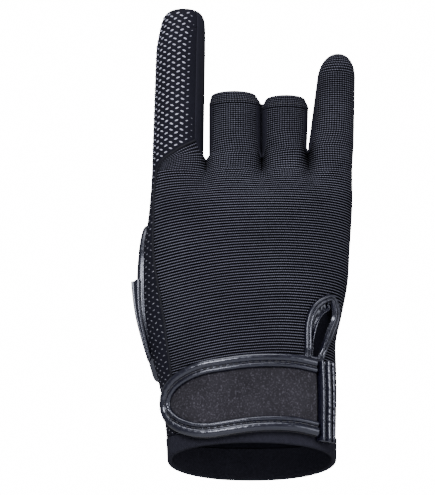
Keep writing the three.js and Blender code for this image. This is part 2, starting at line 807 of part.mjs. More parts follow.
// Upright leatherette tape that the strap comes out of
const edgeTapeTurn = 144.3;
const edgeRoute = [];
for (let i = 0; i <= 12; i++) edgeRoute.push({ turn: edgeTapeTurn, z: edgeTapeFoot + edgeTapeHeight * (i / 12) });
const cuffLift = (cuffThickness - clothThickness) / 2;
const edgeProfile = [
  { side: -1, rise: 0 },
  { side: 1, rise: 0 },
  { side: 1, rise: 0.45 },
  { side: 0.8, rise: 0.72 },
  { side: 0.55, rise: 0.66 },
  { side: 0.15, rise: 1 },
  { side: -0.3, rise: 0.9 },
  { side: -0.5, rise: 0.74 },
  { side: -0.8, rise: 0.95 },
  { side: -1, rise: 0.8 },
];
const edgeTape = sweep(
  stationsOn(edgeRoute, false, () => ({
    width: edgeTapeWidth,
    height: edgeTapeThickness,
    lift: cuffLift + layerGap,
  })),
  edgeProfile,
  false,
);

// Strap: a band round the wrist with a round end. Its outline is given by the distance along it.
const strapStart = turnBack(edgeTapeTurn, edgeTapeWidth / 2 + 0.6, strapLevel);
// How far the strap's middle line rises, as a share of its height, at shares of its reach.
const strapLine = [
  { at: 0, rise: -0.028 },
  { at: 0.154, rise: 0.012 },
  { at: 0.379, rise: 0.004 },
  { at: 0.625, rise: -0.055 },
  { at: 0.788, rise: -0.088 },
  { at: 1, rise: -0.1 },
];
const strapHalf = strapHeight / 2;
const strapEndFrom = strapReach - strapEndLength;
function strapPoint(distance, height, lift) {
  const turn = turnBack(strapStart, Math.max(distance, 0), strapLevel);
  const z = strapLevel + height + strapHeight * along(strapLine, "rise", distance / strapReach);
  return palmPoint(turn, z).addScaledVector(palmNormal(turn, z), lift);
}
const strapLift = layerGap + fastenerThickness + layerGap;
const strapBand = new Sheet();
const strapStraightSteps = 14;
const strapEndSteps = 12;
strapBand.patch(strapStraightSteps + strapEndSteps, 6, (u, v) => {
  const step = Math.round(u * (strapStraightSteps + strapEndSteps));
  const angle = (Math.PI / 2) * Math.max((step - strapStraightSteps) / strapEndSteps, 0);
  const straight = strapEndFrom * Math.min(step / strapStraightSteps, 1);
  const half = step < strapStraightSteps + strapEndSteps ? strapHalf * Math.cos(angle) : 0;
  return strapPoint(straight + strapEndLength * Math.sin(angle), THREE.MathUtils.lerp(half, -half, v), 0);
});

// Padded rim round the strap, sewn on its face
const rimRoute = [];
const rimStraight = 11;
const rimRound = 20;
for (let i = 0; i < rimStraight; i++) rimRoute.push([(strapEndFrom * i) / rimStraight, strapHalf, 0, 1]);
for (let i = 0; i <= rimRound; i++) {
  const angle = (Math.PI * i) / rimRound;
  const across = Math.sin(angle) / strapEndLength;
  const up = Math.cos(angle) / strapHalf;
  const size = Math.hypot(across, up);
  rimRoute.push([
    strapEndFrom + strapEndLength * Math.sin(angle),
    strapHalf * Math.cos(angle),
    across / size,
    up / size,
  ]);
}
for (let i = rimStraight - 1; i >= 0; i--) rimRoute.push([(strapEndFrom * i) / rimStraight, -strapHalf, 0, -1]);
const rimInset = rimWidth / 2 + 0.4;
const rimStations = rimRoute.map(([distance, height, outAlong, outUp]) => {
  const place = (inset) =>
    strapPoint(distance - inset * outAlong, height - inset * outUp, strapLift + strapThickness);
  const point = place(rimInset);
  const side = place(rimInset - 1).sub(point).normalize();
  const turn = turnBack(strapStart, Math.max(distance - rimInset * outAlong, 0), strapLevel);
  const out = palmNormal(turn, strapLevel + height - rimInset * outUp);
  out.addScaledVector(side, -out.dot(side)).normalize();
  return { point, side, out, width: rimWidth, height: rimThickness, lift: layerGap };
});
const rimProfile = [
  { side: -1, rise: 0 },
  { side: 1, rise: 0 },
  { side: 1, rise: 0.5 },
  { side: 0.7, rise: 0.95 },
  { side: 0.25, rise: 1 },
  { side: -0.2, rise: 0.5 },
  { side: -0.6, rise: 0.85 },
  { side: -1, rise: 0.45 },
];
const rim = sweep(rimStations, rimProfile, false);

// Hook-and-loop pad between the strap's end and the glove
const pad = new Sheet();
pad.patch(10, 4, (u, v) => {
  const distance = strapReach - 8 - fastenerLength * (1 - u);
  return strapPoint(distance, fastenerHeight * (0.5 - v), 0);
});

add("back_panel", back.solid(clothThickness).subtract(slitCut), knit);
add("palm_panel", palm.solid(clothThickness).subtract(thumbCut), dotted);
add("fourchette_index_middle", indexMiddleStrip.solid(clothThickness), smoothCloth);
add("fourchette_middle_ring", middleRingStrip.solid(clothThickness, 0, 1.5 * seamGap), smoothCloth);
add("fourchette_ring_little", ringLittleStrip.solid(clothThickness), smoothCloth);
add("middle_hem", hem(lobes.middle), knit);
add("ring_hem", hem(lobes.ring), knit);
add("thumb_binding", thumbTape, leatherette);
add("cuff_band", cuff.solid(cuffThickness, cuffLift), knit);
add("slit_binding", slitTape, leatherette);
add("slit_gusset", gusset.solid(gussetThickness, -clothThickness - layerGap), smoothCloth);
add("cuff_edge_tape", edgeTape, leatherette);
add("strap", strapBand.solid(strapThickness, strapLift + strapThickness, 0), brushed);
add("strap_binding", rim, leatherette);
add("strap_fastener", pad.solid(fastenerThickness, layerGap + fastenerThickness, 0), brushed);

export default glove;
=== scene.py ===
import math

import bmesh
import bpy
import numpy as np
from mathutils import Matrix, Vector


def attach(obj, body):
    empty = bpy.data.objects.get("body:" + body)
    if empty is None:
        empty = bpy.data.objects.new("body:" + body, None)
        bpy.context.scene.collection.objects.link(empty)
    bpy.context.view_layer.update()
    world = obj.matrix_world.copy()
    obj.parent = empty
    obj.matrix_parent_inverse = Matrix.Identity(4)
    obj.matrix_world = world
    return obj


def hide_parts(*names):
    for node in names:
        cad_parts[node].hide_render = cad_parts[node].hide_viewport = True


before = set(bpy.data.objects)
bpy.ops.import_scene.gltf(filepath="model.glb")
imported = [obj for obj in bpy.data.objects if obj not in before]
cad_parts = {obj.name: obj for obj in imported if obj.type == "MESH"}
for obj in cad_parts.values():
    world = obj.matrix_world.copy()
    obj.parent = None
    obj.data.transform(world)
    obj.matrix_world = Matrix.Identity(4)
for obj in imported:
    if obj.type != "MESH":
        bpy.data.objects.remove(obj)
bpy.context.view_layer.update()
print("frame loaded")

# The glove's form in millimetres, as in the solids. Turn 0 is the thumb side, 90 the back,
# 180 the little finger's side and 270 the palm.
form = {"palmLength": 138.0, "knuckleWidth": 86.0, "palmDepth": 30.0, "cuffTop": 8.0, "sideTurn": 22.0,
        "notch": 3.2, "depthShare": 0.92, "seamTop": 0.9, "littleSeamTurn": 190.0,
        "rootRise": 13.2, "rootCurve": 0.55,  # the knit's edge at the index finger's root
        "littleStrip": 32, "indexStrip": 52,  # where the tips' closed caps begin, above the palm
        "thumbBulge": 9.5, "thumbLevel": 69.0, "thumbRootTurn": -40.0, "bulgeTurn": 27, "bulgeLevel": 0.2,
        "bulgeOut": 0.96, "bulgeBack": 0.28}

palmTable = np.array([
    # share of the palm's length, left, right, back, palm, squareness
    [0.0, 0.402, 0.41, 0.66, 0.73, 2.2],
    [0.043, 0.406, 0.412, 0.663, 0.733, 2.2],
    [0.188, 0.435, 0.42, 0.65, 0.717, 2.2],
    [0.275, 0.464, 0.421, 0.633, 0.717, 2.2],
    [0.362, 0.501, 0.422, 0.61, 0.717, 2.25],
    [0.449, 0.528, 0.453, 0.593, 0.7, 2.3],
    [0.551, 0.536, 0.485, 0.573, 0.667, 2.35],
    [0.659, 0.529, 0.498, 0.547, 0.617, 2.4],
    [0.761, 0.508, 0.511, 0.517, 0.567, 2.45],
    [0.877, 0.498, 0.521, 0.47, 0.495, 2.5],
    [1.014, 0.498, 0.525, 0.39, 0.41, 2.5],
])
seamTable = np.array([
    # share of the palm's length, turn of the seam between knit and dots
    [0.0, 28], [0.15, 31], [0.29, 36], [0.406, 40], [0.52, 36.5], [0.61, 31], [0.72, 25], [0.833, 18], [0.9, 17.5],
])
# A closed finger has a dome and round for its tip; an open stall has a dip in its mouth and is drawn in there
fingers = {
    "index": {"middle": -0.3615, "lean": 0.02, "width": 22.2, "taper": 0.03, "reach": 62.5, "dome": 14 / 63,
              "round": 4.6, "tipOver": 0.04, "tipNarrow": 0.1, "dip": 0.0, "draw": (0.0, 0.0)},
    "middle": {"middle": -0.0725, "lean": 0.0, "width": 22.93, "taper": 0.0, "reach": 23.4, "dome": None,
               "dip": 0.06, "draw": (0.04, 0.095)},
    "ring": {"middle": 0.17686, "lean": 0.025, "width": 19.68, "taper": -0.05, "reach": 21.7, "dome": None,
             "dip": 0.06, "draw": (0.08, 0.08)},
    "little": {"middle": 0.413, "lean": 0.086, "width": 19.8, "taper": 0.216, "reach": 42.4, "dome": 12 / 42.4,
               "round": 2.3, "tipOver": 0.0, "tipNarrow": 0.0, "dip": 0.0, "draw": (0.0, 0.0)},
}


def webBetween(left, right):
    a, b = fingers[left], fingers[right]
    wide = form["knuckleWidth"]
    return (a["middle"] * wide + a["width"] / 2 + b["middle"] * wide - b["width"] / 2) / 2


webs = {
    "indexMiddle": (webBetween("index", "middle"), 0.945 * form["palmLength"]),
    "middleRing": (webBetween("middle", "ring"), 0.953 * form["palmLength"]),
    "ringLittle": (webBetween("ring", "little"), 0.9745 * form["palmLength"]),
}


def cutTurn(web):
    left, right = palmTable[-1, 1:3]
    middle, half = (right - left) / 2, (right + left) / 2
    share = (webs[web][0] / form["knuckleWidth"] - middle) / half
    return math.degrees(math.acos(-math.copysign(abs(share) ** 1.25, share)))


# Each finger's share of the palm, from one web's turn to the next
lobes = {}
for name, left, right in (("index", None, "indexMiddle"), ("middle", "indexMiddle", "middleRing"),
                          ("ring", "middleRing", "ringLittle"), ("little", "ringLittle", None)):
    lobes[name] = {"left": left, "right": right, "from": cutTurn(left) if left else 0.0,
                   "to": cutTurn(right) if right else 180.0}


def smooth(low, high, value):
    t = np.clip((value - low) / (high - low), 0, 1)
    return t * t * (3 - 2 * t)


def along(table, column, at):
    rows = table[:, 0]
    at = np.asarray(at, dtype=float)
    i = np.clip(np.searchsorted(rows, at, side="left") - 1, 0, len(rows) - 2)
    before, after = np.maximum(i - 1, 0), np.minimum(i + 2, len(rows) - 1)
    step = rows[i + 1] - rows[i]
    t = np.clip((at - rows[i]) / step, 0, 1.2)
    a, b = table[i, column], table[i + 1, column]
    slopeA = (b - table[before, column]) / (rows[i + 1] - rows[before]) * step
    slopeB = (table[after, column] - a) / (rows[after] - rows[i]) * step
    return ((2 * t**3 - 3 * t**2 + 1) * a + (t**3 - 2 * t**2 + t) * slopeA
            + (-2 * t**3 + 3 * t**2) * b + (t**3 - t**2) * slopeB)


def power(value, exponent):
    return np.sign(value) * np.abs(value) ** exponent


def unit(vectors):
    return vectors / np.linalg.norm(vectors, axis=-1, keepdims=True)


def runOf(steps):
    return np.concatenate([[0], np.cumsum(np.linalg.norm(steps, axis=1))])


def palmPoint(turn, z):
    turn, z = np.broadcast_arrays(np.asarray(turn, float), np.asarray(z, float))
    at = z / form["palmLength"]
    left = along(palmTable, 1, at) * form["knuckleWidth"]
    right = along(palmTable, 2, at) * form["knuckleWidth"]
    sine, cosine = np.sin(np.radians(turn)), np.cos(np.radians(turn))
    depth = np.where(sine >= 0, along(palmTable, 3, at), along(palmTable, 4, at)) * form["palmDepth"]
    exponent = 2 / along(palmTable, 5, at)
    fromThumb = (turn - form["thumbRootTurn"]) % 360
    fromThumb = (fromThumb + 540) % 360 - 180
    fromLevel = at - form["thumbLevel"] / form["palmLength"]
    bulge = form["thumbBulge"] * np.exp(-(fromThumb / form["bulgeTurn"]) ** 2 - (fromLevel / form["bulgeLevel"]) ** 2)
    x = (right - left) / 2 - (right + left) / 2 * power(cosine, exponent) - form["bulgeOut"] * bulge
    y = -depth * power(sine, exponent) + form["bulgeBack"] * bulge
    return np.stack([x, y, z], -1)


def webLevel(lobe, turn):
    left = webs[lobe["left"] or lobe["right"]][1]
    right = webs[lobe["right"] or lobe["left"]][1]
    share = (1 - np.cos(np.radians(turn))) / 2
    return left + (right - left) * share


def fingerPoint(name, turn, z):
    turn, z = np.broadcast_arrays(np.asarray(turn, float), np.asarray(z, float))
    finger, lobe = fingers[name], lobes[name]
    rise = z - form["palmLength"]
    share = rise / finger["reach"]
    half = finger["width"] / 2 * (1 - finger["taper"] * np.maximum(share, 0))
    middle = finger["middle"] * form["knuckleWidth"] + finger["lean"] * rise
    if finger["dome"]:
        nearTip = smooth(0.68, 0.97, share)
        inDome = np.clip((share - 1 + finger["dome"]) / finger["dome"], 0, 1)
        half = half * (1 - finger["tipNarrow"] * nearTip) * (1 - inDome ** finger["round"]) ** (1 / finger["round"])
        middle = middle + finger["width"] * finger["tipOver"] * nearTip
    edge = math.cos(math.radians(form["sideTurn"]))
    drawn = finger["width"] * smooth(0.79, 1, share)
    left = middle - half * edge + drawn * finger["draw"][0]
    right = middle + half * edge - drawn * finger["draw"][1]
    leftOpen = rightOpen = np.ones_like(z)
    if lobe["left"]:
        across, level = webs[lobe["left"]]
        leftOpen = smooth(0, form["notch"], z - level)
        left = across + (left - across) * leftOpen
    if lobe["right"]:
        across, level = webs[lobe["right"]]
        rightOpen = smooth(0, form["notch"], z - level)
        right = across + (right - across) * rightOpen
    cosine = np.cos(np.radians(turn))
    x = np.where(cosine > edge, left - leftOpen * half * (cosine - edge),
                 np.where(cosine < -edge, right + rightOpen * half * (-edge - cosine),
                          left + (edge - cosine) / (2 * edge) * (right - left)))
    sine = np.sin(np.radians(turn))
    dip = finger["width"] * finger["dip"] * smooth(0.1, 0.9, share)
    return np.stack([x, -half * form["depthShare"] * sine, z - dip * sine], -1)


def lobeEnds(lobe):
    return form["sideTurn"] if lobe["left"] else 0, 180 - form["sideTurn"] if lobe["right"] else 180


# The palm's form low down, which turns into the finger's towards the webs
def glovePoint(name, turn, z):
    turn, z = np.broadcast_arrays(np.asarray(turn, float), np.asarray(z, float))
    lobe = lobes[name]
    turn360 = turn % 360
    onBack = turn360 <= 180
    first, last = lobeEnds(lobe)
    mirrored = np.where(onBack, turn360, 360 - turn360)
    share = np.clip((mirrored - first) / (last - first), 0, 1)
    palmTurn = lobe["from"] + (lobe["to"] - lobe["from"]) * share
    top = webLevel(lobe, turn)
    blend = smooth(top * 0.82, top, z)[..., None]
    return palmPoint(np.where(onBack, palmTurn, -palmTurn), z) * (1 - blend) + fingerPoint(name, turn, z) * blend


def lobeTurn(name, palmTurn):
    lobe = lobes[name]
    first, last = lobeEnds(lobe)
    return first + (np.asarray(palmTurn, float) - lobe["from"]) / (lobe["to"] - lobe["from"]) * (last - first)


def seamTurnAt(z):
    return along(seamTable, 1, z / form["palmLength"])


seamTopZ = form["seamTop"] * form["palmLength"]
seamStart = float(lobeTurn("index", seamTurnAt(seamTopZ)))
lobeRight = 180 - form["sideTurn"]

# Where the smooth strips end on the back of each finger, in degrees from its side: at the web, above it, at the top
stripSeams = {
    ("index", "right"): (22, 50, 50), ("middle", "left"): (22, 30, 30), ("middle", "right"): (22, 37, 37),
    ("ring", "left"): (22, 37, 37), ("ring", "right"): (22, 38, 38), ("little", "left"): (22, 38, 26),
}


def seamOff(name, side, z):
    low, high, top = stripSeams[name, side]
    web = webs[lobes[name][side]][1]
    end = form["palmLength"] + fingers[name]["reach"]
    return low + (high - low) * smooth(web, web + 9, z) + (top - high) * smooth(web + 12, end - 8, z)


# Turns over a finger's back, from one strip's seam to the other's
def backTurns(name, share, z):
    left = seamOff(name, "left", z) if lobes[name]["left"] else 0.0
    right = 180 - seamOff(name, "right", z) if lobes[name]["right"] else form["littleSeamTurn"]
    return left + (right - left) * share


def indexRootZ(share):
    return seamTopZ + form["rootRise"] * np.asarray(share, float) ** form["rootCurve"]


def palmNormal(turn, z):
    around = palmPoint(turn + 0.5, z) - palmPoint(turn - 0.5, z)
    up = palmPoint(turn, z + 0.5) - palmPoint(turn, z - 0.5)
    return unit(np.cross(around, up))


# Mesh helpers: a grid from bmesh is laid over the form, with its own measure as the UV map.
def unitGrid(name, across, up):
    bm = bmesh.new()
    bm.loops.layers.uv.new("UVMap")
    bmesh.ops.create_grid(bm, x_segments=across, y_segments=up, size=0.5)
    mesh = bpy.data.meshes.new(name)
    bm.to_mesh(mesh)
    bm.free()
    co = np.empty(len(mesh.vertices) * 3)
    mesh.vertices.foreach_get("co", co)
    co = co.reshape(-1, 3)
    return mesh, co[:, 0] + 0.5, co[:, 1] + 0.5


# place(u, v) gives millimetres and lift(u, v) raises along the normal. The UVs are lengths over the cloth, or with
# ribs, the first rib's number and their count, they go up by one at each rib.
def layGrid(name, across, up, place, lift=None, uv=None, ribs=None):
    mesh, u, v = unitGrid(name, across, up)
    u, v = np.clip(u, 0, 1), np.clip(v, 0, 1)
    points = place(u, v)
    if lift is not None:
        e = 1e-4
        du = place(np.minimum(u + e, 1), v) - place(np.maximum(u - e, 0), v)
        dv = place(u, np.minimum(v + e, 1)) - place(u, np.maximum(v - e, 0))
        normal = np.cross(du, dv)
        size = np.linalg.norm(normal, axis=-1, keepdims=True)
        points = points + normal / np.maximum(size, 1e-12) * np.asarray(lift(u, v))[:, None]
    if uv is None:
        order = np.lexsort((np.round(u * across), np.round(v * up)))
        table = points[order].reshape(up + 1, across + 1, 3)
        run = np.zeros((up + 1, across + 1))
        run[:, 1:] = np.cumsum(np.linalg.norm(np.diff(table, axis=1), axis=-1), axis=1)
        rise = np.zeros((up + 1, across + 1))
        rise[1:] = np.cumsum(np.linalg.norm(np.diff(table, axis=0), axis=-1), axis=0)
        if ribs:
            run -= run[:, across // 2][:, None]
            rise = np.broadcast_to(ribs[0] + ribs[1] * np.linspace(0, 1, up + 1)[:, None], run.shape)
        flat = np.empty((len(u), 2))
        flat[order, 0], flat[order, 1] = run.ravel(), rise.ravel()
    else:
        flat = np.stack(uv(u, v), -1)
    mesh.vertices.foreach_set("co", (points * 0.001).ravel())
    loops = np.empty(len(mesh.loops), dtype=np.int32)
    mesh.loops.foreach_get("vertex_index", loops)
    mesh.uv_layers[0].data.foreach_set("uv", flat[loops].ravel().astype(np.float32))
    mesh.update()
    return mesh


# Grids become one mesh; keep(point) says which faces stay, in millimetres
def joinMeshes(name, meshes, merge=2e-5, flip=False, keep=None):
    bm = bmesh.new()
    for mesh in meshes:
        bm.from_mesh(mesh)
        bpy.data.meshes.remove(mesh)
    if keep is not None:
        gone = [face for face in bm.faces if not keep(face.calc_center_median() * 1000)]
        bmesh.ops.delete(bm, geom=gone, context="FACES")
    bmesh.ops.remove_doubles(bm, verts=bm.verts, dist=merge)
    bmesh.ops.dissolve_degenerate(bm, edges=bm.edges, dist=1e-7)
    if flip:
        bmesh.ops.reverse_faces(bm, faces=bm.faces)
    made = bpy.data.meshes.new(name)
    bm.to_mesh(made)
    bm.free()
    made.shade_smooth()
    return made


def addPiece(name, mesh, material, nodes=(), wall=0.0):
    piece = bpy.data.objects.new(name, mesh)
    bpy.context.scene.collection.objects.link(piece)
    mesh.materials.clear()
    mesh.materials.append(material)
    if wall:
        thick = piece.modifiers.new("wall", "SOLIDIFY")
        thick.thickness = wall * 0.001
        thick.offset = -1
        thick.use_rim = True
    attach(piece, "root")
    if nodes:
        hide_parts(*nodes)
    return piece


# Shader maths: a socket that takes part in Python expressions
class Wire:
    def __init__(self, shader, socket):
        self.shader, self.socket = shader, socket

    def math(self, operation, other, swapped=False):
        pair = [other, self] if swapped else [self, other]
        return self.shader.node("ShaderNodeMath", {"operation": operation}, {0: pair[0], 1: pair[1]})

    def __add__(self, other): return self.math("ADD", other)
    def __radd__(self, other): return self.math("ADD", other, True)
    def __sub__(self, other): return self.math("SUBTRACT", other)
    def __rsub__(self, other): return self.math("SUBTRACT", other, True)
    def __mul__(self, other): return self.math("MULTIPLY", other)
    def __rmul__(self, other): return self.math("MULTIPLY", other, True)
    def __truediv__(self, other): return self.math("DIVIDE", other)
    def __pow__(self, other): return self.math("POWER", other)
    def sine(self): return self.math("SINE", 0)
    def fract(self): return self.math("FRACT", 0)
    def floor(self): return self.math("FLOOR", 0)
    def least(self, other): return self.math("MINIMUM", other)
    def most(self, other): return self.math("MAXIMUM", other)


inputNames = {"base": "Base Color", "roughness": "Roughness", "normal": "Normal", "sheen": "Sheen Weight",
              "sheenRoughness": "Sheen Roughness", "coat": "Coat Weight", "coatRoughness": "Coat Roughness",
              "specular": "Specular IOR Level", "specularTint": "Specular Tint"}


class Shader:
    def __init__(self, name):
        self.material = bpy.data.materials.new(name)
        self.material.use_nodes = True
        self.tree = self.material.node_tree
        self.bsdf = self.tree.nodes["Principled BSDF"]

    def node(self, kind, settings=None, values=None, output=0):
        made = self.tree.nodes.new(kind)
        for key, value in (settings or {}).items():
            setattr(made, key, value)
        for key, value in (values or {}).items():
            self.give(made, key, value)
        return Wire(self, made.outputs[output])

    def give(self, node, key, value):
        if isinstance(value, Wire):
            self.tree.links.new(value.socket, node.inputs[key])
        else:
            node.inputs[key].default_value = value

    def place(self, output="Object"):
        return self.node("ShaderNodeTexCoord", output=output)

    def split(self, vector):
        apart = self.node("ShaderNodeSeparateXYZ", None, {0: vector})
        return [Wire(self, out) for out in apart.socket.node.outputs]

    def noise(self, vector, scale, detail=3, roughness=0.55):
        return self.node("ShaderNodeTexNoise", None, {"Vector": vector, "Scale": scale, "Detail": detail,
                                                      "Roughness": roughness})

    def attribute(self, name):
        return self.node("ShaderNodeAttribute", {"attribute_name": name}, None, 2)

    def mix(self, factor, low, high):
        return self.node("ShaderNodeMix", {"data_type": "RGBA"}, {0: factor, 6: low, 7: high}, 2)

    def bump(self, height, distance, strength):
        return self.node("ShaderNodeBump", None, {"Height": height, "Distance": distance, "Strength": strength})

    def feed(self, **values):
        for key, value in values.items():
            self.give(self.bsdf, inputNames[key], value)
        return self.material


def ribbedKnit(name, look):
    s = Shader(name)
    across, ribs, _ = s.split(s.place("UV"))
    place = s.place()
    phase = ribs.fract()
    crest = (phase * (2 * math.pi) - math.pi / 2).sine() * 0.5 + 0.5  # 0 in the gap, 1 on the rib
    onFinger = ((ribs - look["fingerRibs"]) / 14).least(1).most(0)
    # Painted shade: the knit's colour is darkened in the furrows below the webs
    deep = s.attribute("deep")  # in the furrows below the webs
    inRows = ((ribs - look["fingerRibs"]) * 10).least(1).most(0)  # on the fingers the loops stand in rows
    shift = (ribs.floor() * 0.5).fract() * (1 - inRows)
    loopLength = inRows * (look["fingerLoop"] - look["loop"]) + look["loop"]
    loops = ((across / loopLength + shift) * (2 * math.pi)).sine() * 0.5 + 0.5
    wear = s.noise(place, 900, 3)
    broad = s.noise(place, 45, 2)
    height = crest * 0.6 + crest * loops * 0.4 + wear * 0.12
    walls = onFinger * loops * loops * 0.11
    # Painted light: the rib crests and loop tops get a painted highlight in the base colour, and the gaps between ribs
    # get painted shade
    lit = (crest ** 6) * (0.25 + loops * 0.75) * (1 - onFinger * 0.25) + walls
    shade = lit * (0.55 + broad * 0.9) * (1 - deep * 0.65)
    shade = (shade + (wear - 0.64) * 0.2).least(1).most(0)
    return s.feed(base=s.mix(shade, look["gap"], look["rib"]), roughness=0.7 + wear * 0.2,
                  normal=s.bump(height, 0.00022, 0.8), specular=0.03)


def plainCloth(name, look):
    s = Shader(name)
    place = s.place()
    across, up, _ = s.split(s.place("UV"))
    fine = look["thread"]
    weave = ((across * (2 * math.pi / fine)).sine() * (up * (2 * math.pi / fine)).sine()) * 0.5 + 0.5
    fuzz = s.noise(place, 1400, 4)
    broad = s.noise(place, 60, 2)
    shade = (weave * 0.5 + fuzz * 0.6 + broad * 0.3 - 0.25).least(1).most(0)
    return s.feed(base=s.mix(shade, look["low"], look["high"]), roughness=look["rough"] + fuzz * 0.15,
                  normal=s.bump(weave * 0.5 + fuzz * 0.7, look["relief"], 0.8), sheen=look["sheen"],
                  sheenRoughness=0.5, specular=look["shine"])


def brushedCloth(name, look):
    s = Shader(name)
    place = s.place()
    fuzz = s.noise(place, 2200, 5, 0.7)
    flecks = s.noise(place, 1500, 2, 0.5)
    broad = s.noise(place, 90, 3)
    flecks = ((flecks - 0.52) * 3.5).least(1).most(0)
    shade = (fuzz * 0.45 + broad * 0.3 + flecks * 0.8 - 0.2).least(1).most(0)
    return s.feed(base=s.mix(shade, look["low"], look["high"]), roughness=0.95,
                  normal=s.bump(fuzz + flecks * 0.5, 0.00025, 1.0), sheen=0.05, sheenRoughness=0.5, specular=0.1)


def grainLeather(name, look):
    s = Shader(name)
    place = s.place()
    cells = s.node("ShaderNodeTexVoronoi", {"feature": "DISTANCE_TO_EDGE"}, {"Vector": place, "Scale": 1300.0})
    folds = s.noise(place, 260, 3, 0.6)
    broad = s.noise(place, 60, 2)
    grain = (cells * 6).least(1)
    shade = (grain * 0.35 + folds * 0.5 + broad * 0.3 - 0.2).least(1).most(0)
    return s.feed(base=s.mix(shade, look["low"], look["high"]), roughness=look["rough"] + folds * 0.18,
                  normal=s.bump(grain * 0.25 + folds * 0.9, look["relief"], 0.6), specular=look["shine"],
                  specularTint=look["shineTint"])


# The dots' pale colour is a painted highlight that stands in for the lamps' reflection on glossy dots; a per-dot
# attribute dims it as painted shade
def dotRubber(name, look):
    s = Shader(name)
    broad = s.noise(s.place(), 300, 2)
    dotHighlight = s.attribute("dotHighlight")  # 1 where a dot carries its full painted highlight, lower where it turns from the light (painted shade)
    shade = (broad * 0.5 + 0.5) * dotHighlight
    return s.feed(base=s.mix(shade, look["low"], look["high"]), roughness=0.3 + (1 - dotHighlight) * 0.3,
                  coat=dotHighlight * 0.8, coatRoughness=0.15, specular=0.4)


def sewingThread(name, look):
    s = Shader(name)
    twist = s.noise(s.place(), 3000, 2)
    high = tuple(part * look["lighter"] for part in look["low"][:3]) + (1,)
    return s.feed(base=s.mix(twist, look["low"], high), roughness=0.7, sheen=0.2)


looks = {
    # knit: dark navy yarn; the rib colour is lightened as a painted highlight on the crests, and the gap colour is
    # darkened as painted shade
    "knit": {"gap": (0.0002, 0.0002, 0.0006, 1), "rib": (0.152, 0.154, 0.208, 1), "loop": 0.78,
             "fingerRibs": 93.0, "fingerLoop": 1.1},
    "dottedCloth": {"low": (0.001, 0.001, 0.0025, 1), "high": (0.0125, 0.0125, 0.021, 1), "thread": 0.7, "rough": 0.7,
                    "relief": 0.0001, "sheen": 0.0, "shine": 0.06},
    "foldCloth": {"low": (0.002, 0.002, 0.004, 1), "high": (0.016, 0.016, 0.022, 1), "thread": 0.7, "rough": 0.7,
                  "relief": 0.0001, "sheen": 0.0, "shine": 0.1},
    "smoothCloth": {"low": (0.0015, 0.0015, 0.003, 1), "high": (0.016, 0.016, 0.028, 1), "thread": 0.5, "rough": 0.7,
                    "relief": 0.0001, "sheen": 0.0, "shine": 0.12},
    "innerCloth": {"low": (0.002, 0.002, 0.0035, 1), "high": (0.014, 0.0145, 0.022, 1), "thread": 0.6, "rough": 0.9,
                   "relief": 0.0001, "sheen": 0.0, "shine": 0.05},
    "cuffCloth": {"low": (0.001, 0.001, 0.002, 1), "high": (0.03, 0.03, 0.044, 1), "thread": 0.8, "rough": 0.8,
                  "relief": 0.00018, "sheen": 0.0, "shine": 0.05},
    "leatherette": {"low": (0.001, 0.001, 0.003, 1), "high": (0.008, 0.008, 0.018, 1), "rough": 0.15,
                    "relief": 0.00007, "shine": 0.7, "shineTint": (0.82, 0.85, 1.0, 1)},
    "brushed": {"low": (0.006, 0.0055, 0.0075, 1), "high": (0.068, 0.064, 0.082, 1)},
    # grip dots: the pale high colour is a painted highlight
    "dots": {"low": (0.004, 0.004, 0.006, 1), "high": (0.42, 0.42, 0.54, 1)},
    "thread": {"low": (0.006, 0.006, 0.010, 1), "lighter": 2.2},
}
knitMaterial = ribbedKnit("ribbedKnit", looks["knit"])
dottedMaterial = plainCloth("gripCloth", looks["dottedCloth"])
smoothMaterial = plainCloth("smoothCloth", looks["smoothCloth"])
foldMaterial = plainCloth("foldCloth", looks["foldCloth"])
voidMaterial = plainCloth("innerCloth", looks["innerCloth"])
cuffMaterial = plainCloth("cuffKnit", looks["cuffCloth"])
leatherMaterial = grainLeather("leatherette", looks["leatherette"])
brushedMaterial = brushedCloth("brushedCloth", looks["brushed"])
dotMaterial = dotRubber("gripDots", looks["dots"])
darkThread = sewingThread("darkThread", looks["thread"])
print("materials made")

# Back panel: ribs are rows of the grid, four rows to a rib. They arch over the back and fall at the thumb side.
rib = {"pitch": 1.2, "fingerPitch": 1.0, "rows": 4, "height": 0.2, "level": 0.6, "arch": 2.6, "fall": 4.2,
       "tipRibs": 12}
ribShape = np.array([0.0, 0.8, 1.0, 0.8])


def ribRaise(count):
    def lift(u, v):
        row = np.round(v * count * rib["rows"]).astype(int)
        edge = smooth(0, 2.0 / count, v) * smooth(0, 2.0 / count, 1 - v)
        return rib["height"] * (ribShape[row % rib["rows"]] - rib["level"]) * np.where(edge > 0.02, 1, 0)
    return lift


def backPalmPlace(u, v):
    z = form["cuffTop"] + (seamTopZ - form["cuffTop"]) * v
    window = np.sin(np.pi * np.clip(v, 0, 1)) ** 0.5
    fall = rib["fall"] * (1 - smooth(0, 0.5, u)) * smooth(0, 0.35, v) * smooth(0, 0.45, 1 - v)
    z = z + (rib["arch"] * np.sin(np.pi * u) * window - fall)
    left = seamTurnAt(z)
    turn = left + (form["littleSeamTurn"] - left) * u
    return acrossGlove(turn, z)


def acrossGlove(palmTurn, z):
    palmTurn, z = np.broadcast_arrays(palmTurn, z)
    points = np.zeros(palmTurn.shape + (3,))
    mirrored = np.where(palmTurn % 360 <= 180, palmTurn % 360, 360 - palmTurn % 360)
    for name, lobe in lobes.items():
        inside = (mirrored >= lobe["from"]) & (mirrored <= lobe["to"])
        local = lobeTurn(name, mirrored[inside])
        local = np.where(palmTurn[inside] % 360 <= 180, local, 360 - local)
        points[inside] = glovePoint(name, local, z[inside])
    return points


# Furrows that run down from the webs over the back: length, depth and width
furrows = {"indexMiddle": (9, 1.5, 1.6), "middleRing": (13, 2.4, 1.5), "ringLittle": (22, 2.5, 1.9)}
furrowForm = {"above": 2, "fade": 6, "spread": 0.12, "spreadOver": 20, "curve": 1.3}


